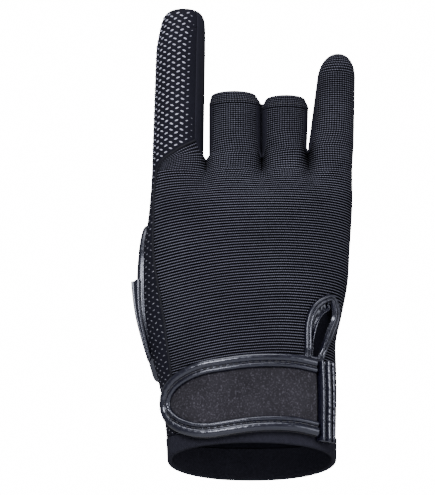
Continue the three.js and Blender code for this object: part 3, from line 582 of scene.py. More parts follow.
def furrowDepth(points):
    deep = np.zeros(len(points))
    for name, (length, depth, width) in furrows.items():
        across, level = webs[name]
        below = level + furrowForm["above"] - points[:, 2]
        reach = np.clip((length - below) / length, 0, 1) * np.clip(below / furrowForm["fade"] + 1, 0, 1)
        wide = width + furrowForm["spread"] * np.clip(below, 0, furrowForm["spreadOver"])
        deep += depth * reach ** furrowForm["curve"] * np.exp(-((points[:, 0] - across) / wide) ** 2)
    return deep


def valleys(points):
    points[:, 1] += np.where(points[:, 1] < 0, furrowDepth(points), 0)
    return points


def webPlace(name):
    lobe = lobes[name]
    first, last = lobe["from"], (form["littleSeamTurn"] if name == "little" else lobe["to"])

    def place(u, v):
        turn = lobeTurn(name, first + (last - first) * u)
        top = webLevel(lobe, np.minimum(turn, 180))
        return valleys(glovePoint(name, turn, seamTopZ + (top - seamTopZ) * v))
    return place


def indexRootPlace(u, v):
    z = seamTopZ + (indexRootZ(u) - seamTopZ) * v
    web = webs["indexMiddle"][1]
    right = np.where(z > web, 180 - seamOff("index", "right", z), lobeRight)
    return valleys(glovePoint("index", seamStart + (right - seamStart) * u, z))


def ribbedGrid(name, across, firstRib, count, place):
    return layGrid(name, across, count * rib["rows"], place, ribRaise(count), ribs=(firstRib, count))


palmRibs = int(round((seamTopZ - form["cuffTop"]) / rib["pitch"]))
backMeshes = [ribbedGrid("backPalm", 90, 0, palmRibs, lambda u, v: valleys(backPalmPlace(u, v))),
              ribbedGrid("backIndexRoot", 26, palmRibs, 10, indexRootPlace)]
for name, count in (("middle", 7), ("ring", 8), ("little", 10)):
    backMeshes.append(ribbedGrid("web" + name, 26, palmRibs, count, webPlace(name)))


def stallPlace(name, top):
    def place(u, v):
        nominal = backTurns(name, u, webs[lobes[name]["left"]][1])
        low = webLevel(lobes[name], np.clip(nominal, 0, 180))
        z = low + (top - low) * v
        return valleys(glovePoint(name, backTurns(name, u, z), z))
    return place


hem = {"height": 6.0, "rib": 0.12, "faceRows": 24, "rows": 30, "firstRib": 140, "around": 66, "stitchLevel": 1.7}


def stallFoot(name):
    return form["palmLength"] + fingers[name]["reach"] - hem["height"]


middleFoot, ringFoot = stallFoot("middle"), stallFoot("ring")
littleStripTop = form["palmLength"] + form["littleStrip"]
indexStripTop = form["palmLength"] + form["indexStrip"]
side = form["sideTurn"]
for name, top in (("middle", middleFoot), ("ring", ringFoot), ("little", littleStripTop)):
    count = int(round((top - webs[lobes[name]["left"]][1] - 1) / rib["fingerPitch"]))
    backMeshes.append(ribbedGrid("back" + name, 26, palmRibs + 8, count, stallPlace(name, top)))
littleTip = form["palmLength"] + fingers["little"]["reach"]


def littleTipPlace(u, v):
    z = littleStripTop + (littleTip - littleStripTop) * np.sin(v * np.pi / 2)
    return fingerPoint("little", side - 360 * (1 - u), z)


backMeshes.append(ribbedGrid("backTip", 50, palmRibs + 40, rib["tipRibs"], littleTipPlace))
print("back panel grids laid")

# Opening over the strap's root
strap = {"height": 33.4, "level": 23.4, "thickness": 1.4, "reach": 66.0, "endLength": 25.0, "edge": 0.4,
         "crown": 0.25, "rimWidth": 6.2, "rimThickness": 1.9, "fastener": 0.8, "layer": 0.3}
edgeTape = {"width": 8.2, "thickness": 4.6, "height": 33.6, "foot": 4.4, "turn": 144.3, "lift": 0.7}
slit = {"height": 25.0, "width": 11.0, "piping": 3.4, "pipingThickness": 1.7, "pipingUnderStrap": 0.8,
        "middle": 144.0, "halfTurn": 12.0}
slit["foot"] = edgeTape["foot"] + edgeTape["height"] + slit["piping"] / 2 + 3 * strap["layer"]
slitOutline = np.array([
    [-0.95, 0.0], [-0.93, 0.2], [-0.95, 0.4], [-0.98, 0.6], [-0.88, 0.776], [-0.58, 0.896], [-0.125, 0.976],
    [0.17, 1.0], [0.58, 0.92], [0.875, 0.8], [1.0, 0.68], [0.79, 0.52], [0.46, 0.34], [0.04, 0.16],
    [-0.25, 0.0], [-0.6, -0.02],
])


# The outline moved outwards by a distance, at right angles to itself
def slitRoute(grow):
    turnLength = slit["width"] / 2 / slit["halfTurn"]
    run = slit["width"] / 2 * slitOutline[:, 0]
    rise = slit["height"] * slitOutline[:, 1]
    ahead = np.stack([np.roll(run, -1) - np.roll(run, 1), np.roll(rise, -1) - np.roll(rise, 1)], -1)
    ahead = unit(ahead)
    return np.stack([slit["middle"] + (run - grow * ahead[:, 1]) / turnLength,
                     slit["foot"] + rise + grow * ahead[:, 0]], -1)


thumb = {"height": 60.0, "width": 26.0, "level": 69.0, "turn": -17.0, "halfTurn": 9.5, "perWidth": 0.075,
         "tapeWidth": 6.0, "tapeThickness": 1.5, "sunk": 0.8, "wrap": 1.1}


def thumbRoute(count, grow):
    angle = np.linspace(0, 2 * np.pi, count, endpoint=False)
    halfTurn = thumb["halfTurn"] * (thumb["width"] / 2 + grow) / (form["knuckleWidth"] * thumb["perWidth"])
    return np.stack([thumb["turn"] + halfTurn * np.cos(angle),
                     thumb["level"] + (thumb["height"] / 2 + grow) * np.sin(angle)], -1)


def insidePolygon(points, polygon):
    x, y = points[:, 0], points[:, 1]
    inside = np.zeros(len(points), bool)
    for (ax, ay), (bx, by) in zip(polygon, np.roll(polygon, -1, axis=0)):
        crosses = (ay > y) != (by > y)
        with np.errstate(divide="ignore", invalid="ignore"):
            at = (bx - ax) * (y - ay) / (by - ay) + ax
        inside ^= crosses & (x < at)
    return inside


# Says whether a point lies outside a hole, seen in the plane that looks straight into it
def holeTester(route, low, high):
    middle = route.mean(0)
    normal = palmNormal(np.array(middle[0]), np.array(middle[1]))
    right = np.cross([0, 0, 1.0], normal)
    right /= np.linalg.norm(right)
    outline = palmPoint(route[:, 0], route[:, 1])
    polygon = np.stack([outline @ right, outline[:, 2]], -1)
    centre = outline.mean(0)

    def outside(point):
        p = np.array(point)
        if not low < p[2] < high or (p - centre) @ normal < -14:  # far off, or on the other wall
            return True
        return not insidePolygon(np.array([[p @ right, p[2]]]), polygon)[0]
    return outside


besideSlit = holeTester(slitRoute(0.3), slit["foot"] - 4, slit["foot"] + slit["height"] + 4)
backMesh = joinMeshes("backPanel", backMeshes, keep=lambda p: p[0] < 12 or p[1] > 6 or besideSlit(p))
places = np.empty(len(backMesh.vertices) * 3)
backMesh.vertices.foreach_get("co", places)
# Painted shade: the share by which the knit's colour darkens in the furrows below the webs
furrowShadeShare = np.clip(furrowDepth(places.reshape(-1, 3) * 1000) / 1.6, 0, 1)
backMesh.attributes.new("deep", "FLOAT", "POINT").data.foreach_set("value", furrowShadeShare.astype(np.float32))
addPiece("back_knit", backMesh, knitMaterial, ["back_panel"], wall=1.1)
print("back panel", len(backMesh.polygons))

# Palm, thumb side and index finger: smooth cloth that carries the grip dots
palmStart = form["littleSeamTurn"]


def palmPlace(u, v):
    z = form["cuffTop"] + (seamTopZ - form["cuffTop"]) * v
    turn = palmStart + (360 + seamTurnAt(z) - palmStart) * u
    return acrossGlove(turn, z)


def palmWebPlace(u, v):
    turn = palmStart + (360 - palmStart) * u
    mirrored = 360 - turn
    top = np.zeros_like(turn)
    for name, lobe in lobes.items():
        inside = (mirrored >= lobe["from"] - 1e-9) & (mirrored <= lobe["to"] + 1e-9)
        top[inside] = webLevel(lobe, 360 - lobeTurn(name, mirrored[inside]))
    return acrossGlove(turn, seamTopZ + (top - seamTopZ) * v)


palmMeshes = [layGrid("palmMain", 130, 80, palmPlace), layGrid("palmWeb", 110, 10, palmWebPlace)]
palmStalls = (("middle", 180 + side, middleFoot), ("ring", 180 + side, ringFoot),
              ("little", palmStart, littleStripTop))
for name, start, top in palmStalls:
    def palmStallPlace(u, v):
        turn = start + (360 - side - start) * u
        return glovePoint(name, turn, webLevel(lobes[name], turn) * (1 - v) + top * v)

    palmMeshes.append(layGrid("palm" + name, 26, 14, palmStallPlace))
indexTip = form["palmLength"] + fingers["index"]["reach"]


def indexRootSidePlace(u, v):
    turn = seamStart * u
    return glovePoint("index", turn, seamTopZ + (webLevel(lobes["index"], turn) - seamTopZ) * v)


# The back of the index finger, from the knit's edge at its root to the tip's cap
def indexBackPlace(u, v):
    foot = indexRootZ(u)
    z = foot + (indexStripTop - foot) * v
    return glovePoint("index", seamStart + (180 - seamOff("index", "right", z) - seamStart) * u, z)


def indexSidePlace(u, v):
    turn = 180 + side + (180 - side + seamStart) * u
    foot = webLevel(lobes["index"], turn)
    foot = np.where(turn > 360, np.minimum(foot, indexRootZ(0)), foot)
    return glovePoint("index", turn, foot + (indexStripTop - foot) * v)


def indexTipPlace(u, v):
    z = indexStripTop + (indexTip - indexStripTop) * np.sin(v * np.pi / 2)
    return fingerPoint("index", 180 + side + (360 - side - seamOff("index", "right", z)) * u, z)


palmMeshes += [layGrid("indexRootSide", 12, 10, indexRootSidePlace), layGrid("indexBack", 40, 50, indexBackPlace),
               layGrid("indexSide", 50, 50, indexSidePlace), layGrid("indexTip", 72, 18, indexTipPlace)]
besideThumb = holeTester(thumbRoute(48, -0.2), thumb["level"] - 34, thumb["level"] + 34)
palmMesh = joinMeshes("palmPanel", palmMeshes, merge=6e-5, keep=lambda p: p[0] > -30 or besideThumb(p))
addPiece("palm_cloth", palmMesh, dottedMaterial, ["palm_panel"], wall=1.1)
print("palm panel", len(palmMesh.polygons))

# Grip dots: staggered rows of raised ovals that lean to either side in turn
dots = {"column": 2.27, "row": 1.41, "long": 0.85, "wide": 0.35, "rise": 0.3, "lean": 20, "foot": 9.5,
        "sideGap": 1.0, "seamGap": 1.2, "stripGap": 3, "tipGap": 2.5}


def domeShape(size, rings=2, sides=8):
    bm = bmesh.new()
    bmesh.ops.create_uvsphere(bm, u_segments=sides, v_segments=rings * 2, radius=1.0)
    bmesh.ops.bisect_plane(bm, geom=bm.verts[:] + bm.edges[:] + bm.faces[:], plane_co=(0, 0, 0),
                           plane_no=(0, 0, -1), clear_outer=True)
    bmesh.ops.contextual_create(bm, geom=[e for e in bm.edges if e.is_boundary])
    bmesh.ops.scale(bm, vec=size, verts=bm.verts)
    mesh = bpy.data.meshes.new("shape")
    bm.to_mesh(mesh)
    bm.free()
    return mesh


# Copies of one small shape, each with its own three directions, joined to one mesh
def scatter(name, shape, origins, first, second, third):
    co = np.empty(len(shape.vertices) * 3)
    shape.vertices.foreach_get("co", co)
    co = co.reshape(-1, 3)
    placed = (origins[:, None] + co[None, :, 0, None] * first[:, None] + co[None, :, 1, None] * second[:, None]
              + co[None, :, 2, None] * third[:, None])
    bm = bmesh.new()
    for _ in origins:
        bm.from_mesh(shape)
    mesh = bpy.data.meshes.new(name)
    bm.to_mesh(mesh)
    bm.free()
    mesh.vertices.foreach_set("co", (placed * 0.001).ravel())
    mesh.shade_smooth()
    mesh.update()
    return mesh


# The turns of one row's dots, at even distances along the cloth from the reference turn
def rowOfDots(place, low, high, reference, row):
    t = np.linspace(low, high, 500)
    run = runOf(np.diff(place(t), axis=0))
    step = 2 * dots["column"]
    zero = np.interp(reference, t, run) + (row % 2) * dots["column"]
    first = math.ceil((run[0] + dots["sideGap"] - zero) / step)
    last = math.floor((run[-1] - dots["sideGap"] - zero) / step)
    return np.interp(zero + np.arange(first, last + 1) * step, run, t)


def dotFrame(place, t):
    around = place(t + 0.2, 0) - place(t - 0.2, 0)
    normal = unit(np.cross(around, place(t, 0.2) - place(t, -0.2)))
    around = unit(around)
    return place(t, 0), around, np.cross(normal, around), normal


def gatherDots():
    groups = []

    def take(surface, low, high, reference):
        t = rowOfDots(lambda turn: surface(turn, np.full_like(turn, z)), low, high, reference, row)
        if len(t):
            groups.append((*dotFrame(lambda turn, dz: surface(turn, np.full_like(turn, z) + dz), t),
                           np.full(len(t), 1 if row % 2 else -1), t, np.full(len(t), z)))

    row = 0
    z = dots["foot"]
    lowest = webs["indexMiddle"][1]
    while z < indexTip - dots["tipGap"]:
        if z < seamTopZ:
            take(acrossGlove, palmStart, 360 + float(seamTurnAt(z)), 360)
        elif z < lowest:
            take(acrossGlove, palmStart, 360, 360)
        if z >= seamTopZ:
            strip = 180 - float(seamOff("index", "right", z))
            edge = strip - dots["stripGap"]
            if z < indexRootZ(1) + dots["seamGap"]:  # above the knit's slanting edge
                share = np.clip((z - dots["seamGap"] - seamTopZ) / form["rootRise"], 0, 1) ** (1 / form["rootCurve"])
                edge = min(seamStart + (strip - seamStart) * share, edge)
            take(lambda t, h: glovePoint("index", t, h), 0 if z < lowest else -(180 - side), edge, 0)
        if z >= lowest:
            for name, start, top in palmStalls:
                if z < top - 1:
                    take(lambda t, h: glovePoint(name, t, h), start, 360 - side, 270)
        z += dots["row"]
        row += 1
    return [np.concatenate(part) for part in zip(*groups)]


middleOf, aroundOf, upOf, normalOf, parity, dotTurn, dotZ = gatherDots()
wrapped = (dotTurn + 180) % 360 - 180
underTape = insidePolygon(np.stack([wrapped, dotZ], -1), thumbRoute(48, thumb["tapeWidth"] - 0.6))
keepDots = ~underTape | (dotZ >= form["palmLength"])
lean = np.radians(dots["lean"]) * parity
longWay = aroundOf * np.cos(lean)[:, None] + upOf * np.sin(lean)[:, None]
wideWay = np.cross(normalOf, longWay)
# Dots shrink and get painted shade towards the strip on the index finger, and are small with painted shade round the
# thumb, where they turn from the light
fade = smooth(98, 122, wrapped) * (dotZ > seamTopZ)
onPalm = 1 - smooth(seamTopZ - 12, seamTopZ + 14, dotZ)
dotSize = (1 - 0.55 * fade - 0.26 * onPalm)[:, None]
dotHighlightShare = (1 - 0.7 * fade) * (1 - 0.72 * onPalm)
dotShape = domeShape((dots["long"], dots["wide"], dots["rise"]))
dotMesh = scatter("gripDots", dotShape, middleOf[keepDots],
                  *((way * dotSize)[keepDots] for way in (longWay, wideWay, normalOf)))
dotHighlight = dotMesh.attributes.new("dotHighlight", "FLOAT", "POINT")
dotHighlight.data.foreach_set("value", np.repeat(dotHighlightShare[keepDots], len(dotShape.vertices)).astype(np.float32))
addPiece("grip_dots", dotMesh, dotMaterial)
print("grip dots", int(keepDots.sum()), "faces", len(dotMesh.polygons))

# Smooth strips between the fingers; a small sheet closes the web between the two open stalls
webSheet = {"width": 3.6, "depth": -1.0, "below": 1, "height": 26.5}
for node, leftName, rightName, web, leftTopZ, rightTopZ in (
        ("fourchette_index_middle", "index", "middle", "indexMiddle", indexTip, middleFoot),
        ("fourchette_middle_ring", "middle", "ring", "middleRing", middleFoot, ringFoot),
        ("fourchette_ring_little", "ring", "little", "ringLittle", ringFoot, littleStripTop)):
    middle, foot = webs[web]

    def leftStrip(u, v):
        z = foot + (leftTopZ - foot) * (np.sin(v * np.pi / 2) if leftTopZ == indexTip else v)
        edge = 180 - seamOff(leftName, "right", z)
        return fingerPoint(leftName, edge + (180 + side - edge) * u, z)

    def rightStrip(u, v):
        z = foot + (rightTopZ - foot) * v
        return fingerPoint(rightName, -side + (seamOff(rightName, "left", z) + side) * u, z)

    def between(u, v):
        return np.stack([middle - webSheet["width"] / 2 + webSheet["width"] * u, np.full_like(u, webSheet["depth"]),
                         foot - webSheet["below"] + webSheet["height"] * v], -1)

    stripMeshes = [layGrid("leftStrip", 14, 60, leftStrip), layGrid("rightStrip", 14, 44, rightStrip)]
    if web == "middleRing":
        stripMeshes.append(layGrid("between", 8, 20, between))
    addPiece(node.replace("fourchette", "strip"), joinMeshes(node, stripMeshes), smoothMaterial,
             [node], wall=1.0)


def sampleAt(at, run, table):
    return np.stack([np.interp(at, run, table[:, i]) for i in range(3)], -1)


# Short threads end to end along a line of points
def stitchRow(points, normals, length, width, gap):
    run = runOf(np.diff(points, axis=0))
    count = int(run[-1] / (length + gap))
    at = (np.arange(count) + 0.5) * run[-1] / count
    forward = unit(sampleAt(at + 0.1, run, points) - sampleAt(at - 0.1, run, points))
    normal = unit(sampleAt(at, run, normals))
    across = np.cross(normal, forward)
    return sampleAt(at, run, points), forward * length / 2, across * width / 2, normal * width / 2


threadShape = domeShape((1, 1, 1), rings=2, sides=8)


def addStitches(name, rows, material):
    parts = [np.concatenate(part) for part in zip(*rows)]
    return addPiece(name, scatter(name, threadShape, *parts), material)


# Turned hems: a ribbed band with a rolled top and a row of stitches
hemProfile = np.array([
    # row, in, up: the outer face, over the top and down the inner face
    [0, 0, 0.3], [24, 0, 5.3], [25, -0.3, 5.75], [26, -0.8, 5.95], [27, -1.3, 5.75], [28, -1.6, 5.2], [30, -1.6, 0.3],
])


def levelOut(offset):
    offset[..., 2] = 0
    return unit(offset)


hemStitches = []
for name, node in (("middle", "middle_hem"), ("ring", "ring_hem")):
    foot = stallFoot(name)

    def hemPlace(u, v):
        v = v * hem["rows"]
        depth, up = (np.interp(v, hemProfile[:, 0], hemProfile[:, i]) for i in (1, 2))
        ribs = np.where(v < hem["faceRows"], hem["rib"] * (ribShape[np.round(v).astype(int) % rib["rows"]] - 0.8), 0)
        point = fingerPoint(name, 360 * u, foot + up)
        middle = fingerPoint(name, 90.0, foot + up) * 0.5 + fingerPoint(name, 270.0, foot + up) * 0.5
        return point + levelOut(point - middle) * (depth + ribs)[..., None]

    grid = layGrid(node, 96, hem["rows"], hemPlace,
                   uv=lambda u, v: (u * hem["around"], hem["firstRib"] + v * hem["rows"] / rib["rows"]))
    hemMesh = joinMeshes(node, [grid], merge=4e-5)
    addPiece(node.replace("hem", "turned_hem"), hemMesh, knitMaterial, [node])
    hemMesh.materials.append(smoothMaterial)
    for polygon in hemMesh.polygons:  # the strips' smooth cloth runs on over the hem
        across = polygon.center.x * 1000 - fingerPoint(name, 90.0, foot + 3)[0]
        seam = stripSeams[name, "right" if across > 0 else "left"][2]
        if polygon.center.y < 0 and abs(across) / (fingers[name]["width"] / 2) > math.cos(math.radians(seam)):
            polygon.material_index = 1
    ring = fingerPoint(name, np.linspace(0, 360, 200), foot + hem["stitchLevel"])
    out = levelOut(ring - ring.mean(0))
    hemStitches.append(stitchRow(ring + out * 0.02, out, 1.7, 0.3, 0.6))
addStitches("hem_stitches", hemStitches, darkThread)
print("hems made")


# Tapes and pipings swept along routes on the palm's form
def closedCurve(route, count):
    n = len(route)
    t = np.arange(count) * n / count
    i = t.astype(int)
    f = (t - i)[:, None]
    p0, p1, p2, p3 = (route[(i + k) % n] for k in (-1, 0, 1, 2))
    return 0.5 * (2 * p1 + (p2 - p0) * f + (2 * p0 - 5 * p1 + 4 * p2 - p3) * f**2
                  + (3 * p1 - p0 - 3 * p2 + p3) * f**3)


def routeFrames(route, closed):
    point = palmPoint(route[:, 0], route[:, 1])
    out = palmNormal(route[:, 0], route[:, 1])
    ahead = np.roll(point, -1, axis=0) - np.roll(point, 1, axis=0) if closed else np.gradient(point, axis=0)
    return point, unit(np.cross(ahead, out)), out


# profile(v) gives side and rise round the section, from 0 to 1
def sweepTape(name, point, sideways, out, profile, width, height, lift, closed, wrinkle=None):
    count = len(point)
    rings = count if closed else count - 1

    def place(u, v):
        i = np.round(u * rings).astype(int) % count  # a closed tape's last ring is its first
        s, rise = profile(v)
        extra = wrinkle(i, v) if wrinkle else 0
        w, h, l = (np.broadcast_to(a, (count,))[i] for a in (width, height, lift))
        return point[i] + sideways[i] * (s * w / 2)[:, None] + out[i] * (l + rise * (h + extra))[:, None]

    return layGrid(name, rings, 72, place)


# A flat underside and a top of rounded ridges: each ridge is its middle, half width and height
def roundSection(ridges, samples=30):
    s = np.linspace(1, -1, samples)
    top = np.full(samples, 0.08)
    for middle, half, height in ridges:
        top = np.maximum(top, height * np.sqrt(np.clip(1 - ((s - middle) / half) ** 2, 0, 1)))
    stops = np.array([[-1, 0], [1, 0], *zip(s, top), [-1, 0]], float)
    run = runOf(np.diff(stops, axis=0) * [1, 0.4])
    run /= run[-1]
    return lambda v: (np.interp(v, run, stops[:, 0]), np.interp(v, run, stops[:, 1]))


def closeEnds(mesh):
    bm = bmesh.new()
    bm.from_mesh(mesh)
    bmesh.ops.holes_fill(bm, edges=[e for e in bm.edges if e.is_boundary], sides=0)
    bmesh.ops.recalc_face_normals(bm, faces=bm.faces)
    bm.to_mesh(mesh)
    bm.free()
    mesh.shade_smooth()
    return mesh


def addTape(name, mesh, nodes=(), material=leatherMaterial):
    return addPiece(name, closeEnds(joinMeshes(mesh.name, [mesh], merge=1e-5)), material, nodes)


# Small cross wrinkles along a tape
def creases(count, seed, depth):
    rng = np.random.default_rng(seed)
    wave = np.convolve(rng.normal(size=count + 8), [1, 2, 3, 2, 1], "same")[4:-4]
    wave = wave / np.abs(wave).max()
    return lambda i, v: depth * wave[i % count] * np.sin(np.pi * v)


# Fold of the dotted cloth along its seam with the knit
fold = {"foot": 9.0, "width": 1.1, "height": 0.55}


def foldLine(count):
    z = np.linspace(fold["foot"], seamTopZ, count)
    turn = lobeTurn("index", seamTurnAt(z))
    share = np.linspace(0, 1, count // 2 + 1)[1:]
    high = indexRootZ(share)
    right = 180 - seamOff("index", "right", high)
    return np.concatenate([turn, seamStart + (right - seamStart) * share]), np.concatenate([z, high])


foldTurn, foldZ = foldLine(200)
point = glovePoint("index", foldTurn, foldZ)
out = unit(np.cross(glovePoint("index", foldTurn + 0.5, foldZ) - glovePoint("index", foldTurn - 0.5, foldZ),
                    glovePoint("index", foldTurn, foldZ + 0.3) - glovePoint("index", foldTurn, foldZ - 0.3)))
sideways = unit(np.cross(np.gradient(point, axis=0), out))
foldMesh = sweepTape("seamFold", point - sideways * (fold["width"] / 2), sideways, out,
                     roundSection([(0.0, 1.0, 1.0)]), fold["width"], fold["height"], 0.0, False)
addTape("seam_fold", foldMesh, (), foldMaterial)

# Thumb hole
thumbLine = thumbRoute(180, thumb["tapeWidth"] / 2 - 1)
point, sideways, out = routeFrames(thumbLine, True)
thumbSection = roundSection([(0.45, 0.5, 1.0), (-0.42, 0.55, 0.92), (0.0, 0.98, 0.55)])
thumbMesh = sweepTape("thumbTape", point, sideways, out, thumbSection, thumb["tapeWidth"],
                      thumb["tapeThickness"] + thumb["wrap"], -thumb["sunk"], True, creases(180, 5, 0.05))
addTape("thumb_tape", thumbMesh, ["thumb_binding"])

# The tape's free end, which stands off the glove and lies down towards the cuff
tapeEnd = {"top": 76.5, "slant": 1.2, "length": 34, "turn": 13, "drift": 5, "lift": 1.5, "narrow": 0.8, "wider": 3.2,
           "taper": 1.3, "ridge": 0.45, "ridges": 1.6, "out": 0.93, "backwards": 0.36}


def tapeEndPlace(u, v):
    z = tapeEnd["top"] - tapeEnd["slant"] * u - tapeEnd["length"] * v
    turn = tapeEnd["turn"] - tapeEnd["drift"] * v
    wide = tapeEnd["narrow"] + tapeEnd["wider"] * (1 - v) ** tapeEnd["taper"]
    base = palmPoint(turn, z) + palmNormal(turn, z) * tapeEnd["lift"]
    ridges = tapeEnd["ridge"] * np.sin(np.pi * np.clip(u, 0, 1) * tapeEnd["ridges"]) ** 2
    return base + np.stack([-tapeEnd["out"] * wide * u, tapeEnd["backwards"] * wide * u - ridges,
                            np.zeros_like(u)], -1)


tapeEndMesh = joinMeshes("tapeEnd", [layGrid("tapeEnd", 24, 60, tapeEndPlace)], flip=True)
addPiece("thumb_tape_end", tapeEndMesh, leatherMaterial, wall=0.9)

# Slit: piping, its inner facing and the dark cloth below
slitLine = closedCurve(slitRoute(0.9), 220)
point, sideways, out = routeFrames(slitLine, True)
strapTop = strap["level"] + strap["height"] / 2
pipingLow = slit["pipingUnderStrap"]
pipingHeight = pipingLow + (slit["pipingThickness"] - pipingLow) * smooth(strapTop + 0.8, strapTop + 4,
                                                                          slitLine[:, 1])
pipingSection = roundSection([(0.42, 0.5, 0.95), (-0.45, 0.5, 0.85), (0.0, 0.98, 0.5)])
pipingEdge = slit["middle"] + slit["halfTurn"] * 0.3
pipingWide = slit["piping"] * (1 + 0.4 * smooth(pipingEdge, pipingEdge + 9, slitLine[:, 0]))
pipingMesh = sweepTape("slitPiping", point, sideways, out, pipingSection, pipingWide, pipingHeight, 0.3, True,
                       creases(220, 3, 0.12))
addTape("slit_piping", pipingMesh, ["slit_binding"])

gusset = {"across": 3, "below": 0.12, "up": 1.26, "depth": 1.5, "sag": 1.2}


def gussetPlace(u, v):
    turn = slit["middle"] + slit["halfTurn"] * (-gusset["across"] / 2 + gusset["across"] * u)
    z = slit["foot"] + slit["height"] * (-gusset["below"] + gusset["up"] * v)
    sag = gusset["sag"] * np.sin(np.pi * u) * np.sin(np.pi * v)
    return palmPoint(turn, z) - palmNormal(turn, z) * (gusset["depth"] + sag)[:, None]


# Folded leatherette from the slit's left lip down to the cloth below, with slanting creases
facing = {"lip": 0.6, "deepest": -4.8, "span": 5.4, "narrow": 1.6, "wider": 3.8, "lean": 1.7, "crease": 0.3}
facingLines = np.stack([closedCurve(slitRoute(grow), 300)[:150]
                        for grow in np.linspace(facing["lip"], facing["deepest"], 28)])


def facingPlace(u, v):
    wide = (facing["narrow"] + facing["wider"] * np.sin(np.pi * u ** facing["lean"])) * (1 - u**10)
    row = wide * v / facing["span"] * 27
    column = u * 149
    i, j = np.clip(row.astype(int), 0, 26), np.clip(column.astype(int), 0, 148)
    f, g = (row - i)[:, None], (column - j)[:, None]
    upper = facingLines[i, j] * (1 - g) + facingLines[i, j + 1] * g
    lower = facingLines[i + 1, j] * (1 - g) + facingLines[i + 1, j + 1] * g
    at = upper * (1 - f) + lower * f
    crease = (facing["crease"] * np.sin(26 * u + 5.5 * v + 2 * np.sin(9 * u))
              * np.sin(np.pi * np.clip(v * 0.9 + 0.1, 0, 1)))
    foldEdge = 0.55 * np.exp(-((v - 0.86) / 0.09) ** 2) - 1.5 * smooth(0.9, 1.0, v)
    lift = 0.25 - 0.6 * np.sin(np.pi * np.clip(v / 0.8, 0, 1)) + foldEdge + crease * 0.6
    return palmPoint(at[:, 0], at[:, 1]) + palmNormal(at[:, 0], at[:, 1]) * lift[:, None]


facingMesh = joinMeshes("slitFacing", [layGrid("slitFacing", 120, 24, facingPlace)], flip=True)
addPiece("slit_facing", facingMesh, leatherMaterial, wall=0.4)
gussetMesh = joinMeshes("gusset", [layGrid("gusset", 40, 50, gussetPlace)])
addPiece("slit_cloth", gussetMesh, voidMaterial, ["slit_gusset"], wall=0.7)

# Upright tape that the strap comes out of
tapeLine = np.stack([np.full(120, edgeTape["turn"]),
                     edgeTape["foot"] + np.linspace(0, edgeTape["height"], 120)], -1)
point, sideways, out = routeFrames(tapeLine, False)
tapeSection = roundSection([(-0.76, 0.23, 0.92), (0.0, 0.34, 1.0), (0.72, 0.27, 0.8), (0.0, 1.0, 0.58)], samples=70)
edgeMesh = sweepTape("edgeTape", point, sideways, out, tapeSection, edgeTape["width"], edgeTape["thickness"],
                     edgeTape["lift"], False, creases(120, 8, 0.2))
addTape("cuff_tape", edgeMesh, ["cuff_edge_tape"])

# Strap: distances run from its tape along the cuff, and its middle line's height follows the table
turnsOnCuff = np.linspace(edgeTape["turn"], -20, 1500)
runOnCuff = runOf(np.diff(palmPoint(turnsOnCuff, strap["level"]), axis=0))
strapStart = edgeTape["width"] / 2 + 0.6
strapLine = np.array([[0, -0.028], [0.154, 0.012], [0.379, 0.004], [0.625, -0.055], [0.788, -0.088], [1, -0.1]])


def strapPoint(distance, height, lift):
    distance, height, lift = np.broadcast_arrays(*(np.asarray(part, float) for part in (distance, height, lift)))
    turn = np.interp(strapStart + np.maximum(distance, 0), runOnCuff, turnsOnCuff)
    z = strap["level"] + height + strap["height"] * along(strapLine, 1, distance / strap["reach"])
    return palmPoint(turn, z) + palmNormal(turn, z) * lift[..., None]


strapLift = strap["fastener"] + 2 * strap["layer"]
strapHalf = strap["height"] / 2
strapEndFrom = strap["reach"] - strap["endLength"]


def strapPlace(u, v):
    share = np.clip(u, 0, 1)
    angle = np.pi / 2 * np.clip((share - 0.5) / 0.5, 0, 1)
    distance = strapEndFrom * np.minimum(share / 0.5, 1) + (strap["endLength"] - strap["edge"]) * np.sin(angle)
    half = (strapHalf - strap["edge"]) * np.cos(angle)
    bulge = strap["crown"] * np.sin(np.pi * v) * np.minimum(half / 6, 1)
    return strapPoint(distance, half * (1 - 2 * v), strapLift + strap["thickness"] + bulge)


strapMesh = joinMeshes("strapCloth", [layGrid("strapCloth", 120, 50, strapPlace)], merge=4e-5)
addPiece("strap_cloth", strapMesh, brushedMaterial, ["strap"], wall=1.3)

# The rim's line, with the direction outwards along the strap and up it at each step
rimInset = strap["rimWidth"] / 2 + strap["edge"]
straightSteps, roundSteps = 120, 180
roundAngle = np.linspace(0, np.pi, roundSteps + 1)
outAlong, outUp = np.sin(roundAngle) / strap["endLength"], np.cos(roundAngle) / strapHalf
outSize = np.hypot(outAlong, outUp)
straightRun = np.linspace(0, strapEndFrom, straightSteps, endpoint=False)
edgeAlong = np.concatenate([straightRun, strapEndFrom + strap["endLength"] * np.sin(roundAngle), straightRun[::-1]])
edgeUp = np.concatenate([np.full(straightSteps, strapHalf), strapHalf * np.cos(roundAngle),
                         np.full(straightSteps, -strapHalf)])
leanAlong = np.concatenate([np.zeros(straightSteps), outAlong / outSize, np.zeros(straightSteps)])
leanUp = np.concatenate([np.ones(straightSteps), outUp / outSize, -np.ones(straightSteps)])
face = strapLift + strap["thickness"]
rimPoint = strapPoint(edgeAlong - rimInset * leanAlong, edgeUp - rimInset * leanUp, face)
rimSide = unit(strapPoint(edgeAlong - (rimInset - 1) * leanAlong, edgeUp - (rimInset - 1) * leanUp, face) - rimPoint)
rimTurn = np.interp(strapStart + np.maximum(edgeAlong - rimInset * leanAlong, 0), runOnCuff, turnsOnCuff)
rimOut = palmNormal(rimTurn, strap["level"] + edgeUp - rimInset * leanUp)
rimOut = unit(rimOut - rimSide * (rimOut * rimSide).sum(1, keepdims=True))
rimSection = roundSection([(0.4, 0.6, 1.0), (-0.62, 0.37, 0.82), (0.0, 1.0, 0.38)], samples=60)
rimRun = runOf(np.diff(rimPoint, axis=0))
rim = {"swell": 0.04, "gather": 0.1, "pucker": 0.07, "puckerPitch": 2.7, "puckerAt": 0.72, "groove": -0.2}


